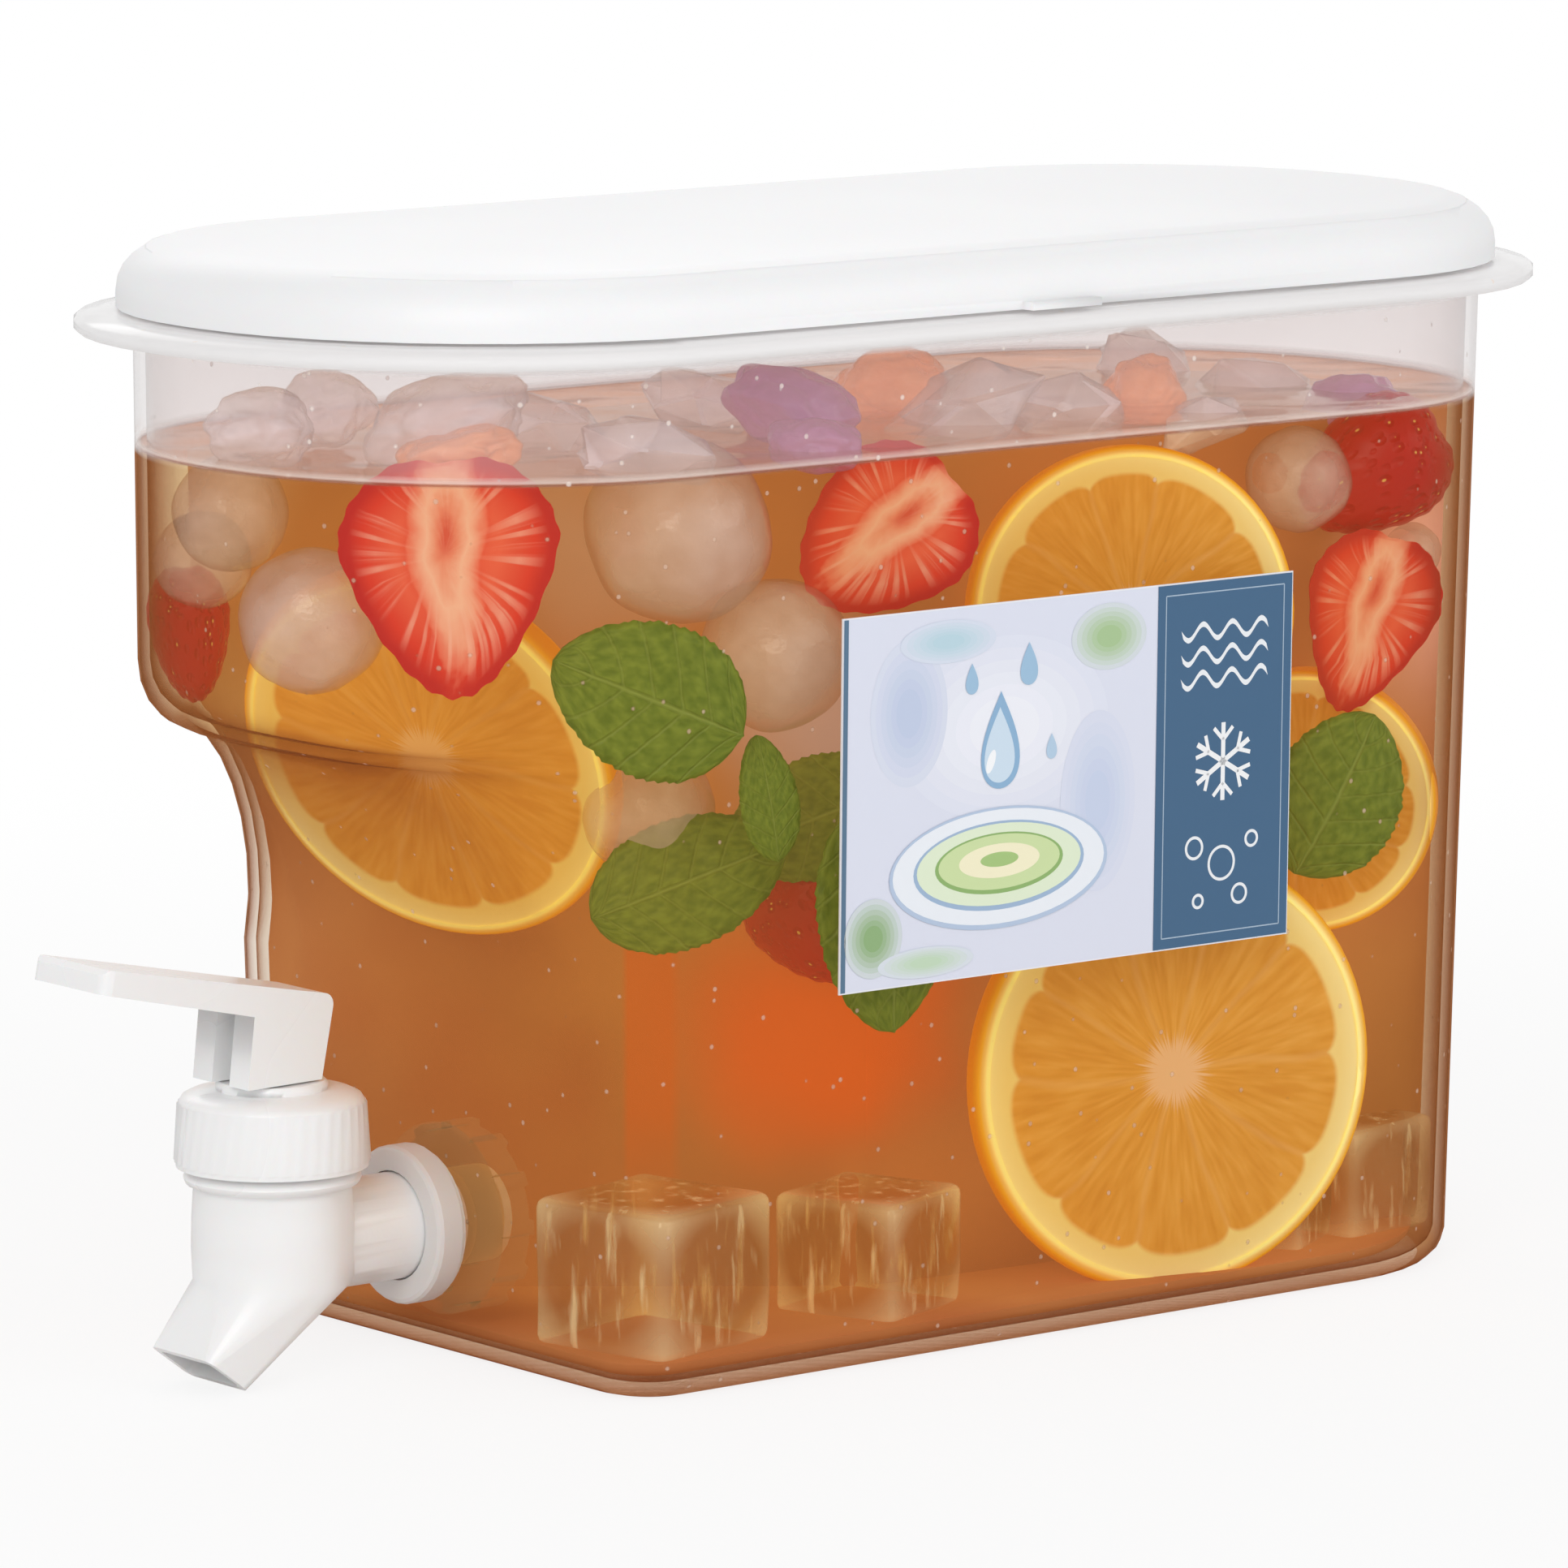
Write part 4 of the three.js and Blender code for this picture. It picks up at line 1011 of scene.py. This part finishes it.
# %% Strawberries in their places
# columns: name, pixel x, y, depth y in mm, swing, lift and spin in degrees, width and height in mm,
# taper, whether it is a half
STRAWBERRIES = (("half_left", 553, 672, -35, 38, 5, 3, 35, 39, 0.32, True),
                ("half_middle", 1112, 640, -46, 32, 5, -52, 27, 31, 0.16, True),
                ("half_right", 1694, 738, -44, 32, 5, -18, 23, 32, 0.38, True),
                ("whole_right", 1712, 564, -38, 20, 0, -60, 23, 29, 0.16, False),
                ("whole_left", 232, 758, 32, 60, 0, 5, 14, 23, 0.16, False),
                ("whole_deep", 985, 1115, -22, 60, 0, 40, 20, 24, 0.16, False))
for name, px, py, depth, swing, lift, spin, wide, tall, taper, half in STRAWBERRIES:
    strawberry(name, laid(sight(px, py, depth), swing, lift, spin), wide, tall, taper, half)
print("strawberries:", len(STRAWBERRIES))

# %% [markdown]
# ## Mint
# A mint leaf is a grid drawn in to a leaf's outline, with small teeth along its edge, a bend along
# its middle and a little thickness. Its veins come from its own coordinates: one along the middle,
# and side veins that lean forwards.

# %% Mint finish
mint, tree = finish("fresh_mint")
own = own_place(tree)
crinkle = mottle(tree, own, 7, 4)
bent = vec(tree, "MULTIPLY_ADD", crinkle.outputs["Color"], (0.03, 0.03, 0), own)
parts = add(tree, "SeparateXYZ", {0: bent})
aside = calc(tree, "ABSOLUTE", calc(tree, "ADD", parts.outputs["Y"], -0.015))
lengthwise = calc(tree, "MULTIPLY", parts.outputs["X"], 3.2)
lean = calc(tree, "MULTIPLY_ADD", aside, -1.3, lengthwise)
side_vein = ranged(tree, calc(tree, "PINGPONG", lean, 0.5), (0, 0.09), (0.45, 1), smooth=True)
veins = calc(tree, "MULTIPLY", side_vein, ranged(tree, aside, (0.01, 0.05)))
blade = ramp(tree, crinkle, (0.35, "#6a8228"), (0.65, "#889c3a"))
height = calc(tree, "MULTIPLY_ADD", crinkle, 0.6, veins)
wet(tree, blend(tree, veins, "#93a64c", blade), 0.45, 0.35, bumps(tree, height, 0.6, 1 * MM))
print("mint nodes:", len(tree.nodes))


# %% Mint: the leaves
def leaf(name, place, length, width, bend=0.12):
    """A mint leaf with its tip along the shape's own X, its length and width in millimetres."""
    shape = bmesh.new()
    bmesh.ops.create_grid(shape, x_segments=54, y_segments=14, size=1)

    def drawn(p):
        outline = max(0, 1 - p.x * p.x) ** 0.58 * (1 - 0.12 * p.x)
        tooth = 1 + 0.05 * ((p.x * 9) % 1 - 0.5) * abs(p.y) ** 3
        puff = 0.03 * noise.noise(Vector((p.x * 4, p.y * 3, 7)))
        fold = bend * (0.4 - p.x * p.x) - 0.5 * bend * p.y * p.y
        return Vector((p.x * length / 2, p.y * outline * tooth * width / 2, (puff + fold) * length / 2))

    placed(shape, place, drawn)
    bmesh.ops.solidify(shape, geom=shape.faces[:], thickness=0.5 * MM)
    staged(name, shape, mint)


# columns: name, pixel x, y, depth y in mm, swing, lift and spin in degrees, length and width in mm
LEAVES = (
    ("leaf_big", 803, 862, -48, 22, 0, 157, 34, 25), ("leaf_small", 948, 985, -49, 20, 0, 100, 21, 10),
    ("leaf_olive", 850, 1085, -34, 30, 10, 20, 34, 21), ("leaf_dark", 1000, 1010, -28, 30, 10, 200, 30, 20),
    ("leaf_label", 1090, 1135, -50, 10, 0, -82, 38, 24), ("leaf_right", 1648, 980, -49, 22, 0, 62, 30, 24))
for name, px, py, depth, swing, lift, spin, length, width in LEAVES:
    leaf(name, laid(sight(px, py, depth), swing, lift, spin), length, width)
print("leaves:", len(LEAVES))

# %% [markdown]
# ## Ice
# Ice that was frozen quickly is cloudy in its middle and clear at its skin. The balls are spheres
# pushed about by noise, most of the lumps at the surface are broken in to facets, and the cubes at
# the bottom are bevelled boxes. Their finish lets light through without bending it, with more cloud
# where it is looked at straight on. Some grapes and bits of peel float between them.

# %% Finishes for rounded ice and floating fruit
def ice_look(name, colour, clear, cloudy, glow=GLOW):
    """See-through with cloud of this colour in its middle, from clear to cloudy, and a wet skin. The cloud's
    glow is painted light.
    """
    material, tree = finish(name)
    own = own_place(tree)
    seen = facing(tree)
    heart = ranged(tree, seen, (0, 0.85), (1, 0))
    uneven = ranged(tree, mottle(tree, own, 1.4), end=(0.35, 1.5))
    share = ranged(tree, calc(tree, "MULTIPLY", heart, uneven), end=(clear, cloudy))
    bubbles = bumps(tree, mottle(tree, own, 16), 0.15, 1 * MM)
    milk = solid(tree, colour, 0.4, glow, {"IOR": 1.31, "Normal": bubbles})
    milk = mixed(tree, share, glass(tree, "#efe4da"), milk)
    covers(tree, coated(tree, milk, seen, 3, (0.03, 0.35), "#ffffff", 0.16, bubbles))
    return material


cloudy_ice = ice_look("cloudy_ice", "#dfccc4", 0.08, 0.52)
floating_ice = ice_look("floating_ice", "#ece4e8", 0.16, 0.62, 0.36)
grape = ice_look("purple_grape", "#b0749c", 0.5, 0.95, 0.4)
peel = ice_look("orange_peel_piece", "#f0a878", 0.3, 0.8, 0.4)
print("finishes:", cloudy_ice.name, floating_ice.name, grape.name, peel.name)

# %% The finish of the clear cubes: a painted highlight along their edges, and pale cracks
cube_ice, tree = finish("clear_cube_ice")
own = own_place(tree)
painted_edge_highlight = ranged(tree, vec(tree, "LENGTH", own), (1.25, 1.62), (0.03, 0.45))
crack = mottle(tree, vec(tree, "MULTIPLY", own, (5, 5, 0.8)), 1, 3)
cracks_and_painted_highlight = calc(tree, "MAXIMUM", painted_edge_highlight, ranged(tree, crack, (0.54, 0.74), (0, 0.6)))
milk = mixed(tree, cracks_and_painted_highlight, glass(tree, "#f0e4cc"), solid(tree, "#faeabc", 0.25, 0.28, {"IOR": 1.31}))
covers(tree, coated(tree, milk, facing(tree), 3, (0.04, 0.5), "#fdf0d2", 0.1))
print("cube nodes:", len(tree.nodes))


# %% Ice balls
def lump(name, place, radius, material, flatness=1, rough=0.05, seed=0, broken=False):
    """A lump of this radius in millimetres, pushed about by noise: round, or broken in to facets."""
    shape = bmesh.new()
    bmesh.ops.create_icosphere(shape, subdivisions=1 if broken else 5, radius=1)
    if broken:
        rounded(shape, shape.edges[:], 0.07, 2)

    def pushed(p):
        broad = noise.noise(p * 1.4 + Vector((seed, 0, 0)))
        ridge = abs(noise.noise(p * 2.6 + Vector((0, seed, 0))))
        grow = 1 + rough * (broad - 0.5 * ridge)
        return Vector((p.x * grow * radius, p.y * grow * radius * flatness, p.z * grow * radius))

    staged(name, placed(shape, place, pushed), material, 40 if broken else 180, shades=False)


# columns: pixel x, y, depth y and radius in mm
BALLS = ((285, 632, 17, 9.5), (385, 765, -8, 11.8), (835, 655, -38, 15), (955, 805, -36, 12.5),
         (1600, 590, -38, 9), (1740, 680, -36, 5), (800, 1000, -22, 11), (250, 690, 25, 8))
for number, (px, py, depth, radius) in enumerate(BALLS):
    lump("ice_ball_%d" % number, laid(sight(px, py, depth)), radius, cloudy_ice, seed=number * 3.7)
print("ice balls:", len(BALLS))

# %% Lumps that float
ROUND_ONES = 3  # the first lumps are worn round, and the other pieces of ice are broken
# columns: pixel x, y, depth y and radius in mm, share of its thickness, finish
FLOATING = (
    (325, 530, 8, 9, 0.7, floating_ice), (400, 505, 10, 8, 0.8, floating_ice),
    (550, 520, -15, 13, 0.6, floating_ice), (670, 525, -10, 13, 0.5, floating_ice),
    (860, 490, 0, 11, 0.6, floating_ice), (975, 500, -20, 11, 0.6, grape), (1005, 548, -36, 8, 0.6, grape),
    (1095, 475, 0, 10, 0.6, peel), (1190, 500, -20, 16, 0.5, floating_ice),
    (1310, 505, -25, 13, 0.5, floating_ice), (1410, 485, -20, 6.5, 1, peel),
    (1405, 445, 20, 9, 0.7, floating_ice), (1560, 485, -10, 12, 0.6, floating_ice),
    (1665, 505, -26, 10, 0.6, grape), (1480, 520, -35, 9, 0.6, floating_ice), (565, 560, -25, 10, 0.45, peel),
    (790, 560, -40, 13, 0.5, floating_ice))
for number, (px, py, depth, radius, flatness, material) in enumerate(FLOATING):
    tilted = laid(sight(px, py, depth)) @ Matrix.Rotation(0.3 * math.sin(number), 4, "Z")
    broken = material == floating_ice and number >= ROUND_ONES
    rough = 0.5 if broken else 0.22
    lump("float_%d" % number, tilted, radius, material, flatness, rough, number * 2.3, broken)
print("floating lumps:", len(FLOATING))

# %% Cubes on the floor of the tank
FLOOR_TOP = 4.2  # mm
MELTED_TO = 0.88  # of its height


def cube(name, spot, size, turned):
    """An ice cube that stands at this spot, its size in millimetres."""
    shape = bmesh.new()
    bmesh.ops.create_cube(shape, size=2)
    rounded(shape, shape.edges[:], 0.16, 3)
    bmesh.ops.subdivide_edges(shape, edges=shape.edges[:], cuts=2, use_grid_fill=True)
    stand = Matrix.Translation(spot + Vector((0, 0, 0.5 * MELTED_TO * size * MM)))
    melt = Matrix.Diagonal((MM, MM, MELTED_TO * MM, 1))
    place = stand @ Matrix.Rotation(math.radians(turned), 4, "Z") @ melt
    melted = placed(shape, place, lambda p: p * (size / 2 + 0.4 * noise.noise(p * 1.3)))
    staged(name, melted, cube_ice, 50, shades=False)


# columns: name, pixel x, y, size in mm, turn in degrees
CUBES = (("cube_front", 805, 1655, 28, 12), ("cube_middle", 1070, 1612, 23, 20),
         ("cube_right", 1655, 1510, 22, 8), ("cube_behind", 930, 1560, 22, 50),
         ("cube_far", 1240, 1540, 20, 33), ("cube_side", 1560, 1530, 18, 30))
for name, px, py, size, turned in CUBES:
    cube(name, sight(px, py, FLOOR_TOP, "z"), size, turned)
print("cubes:", len(CUBES))
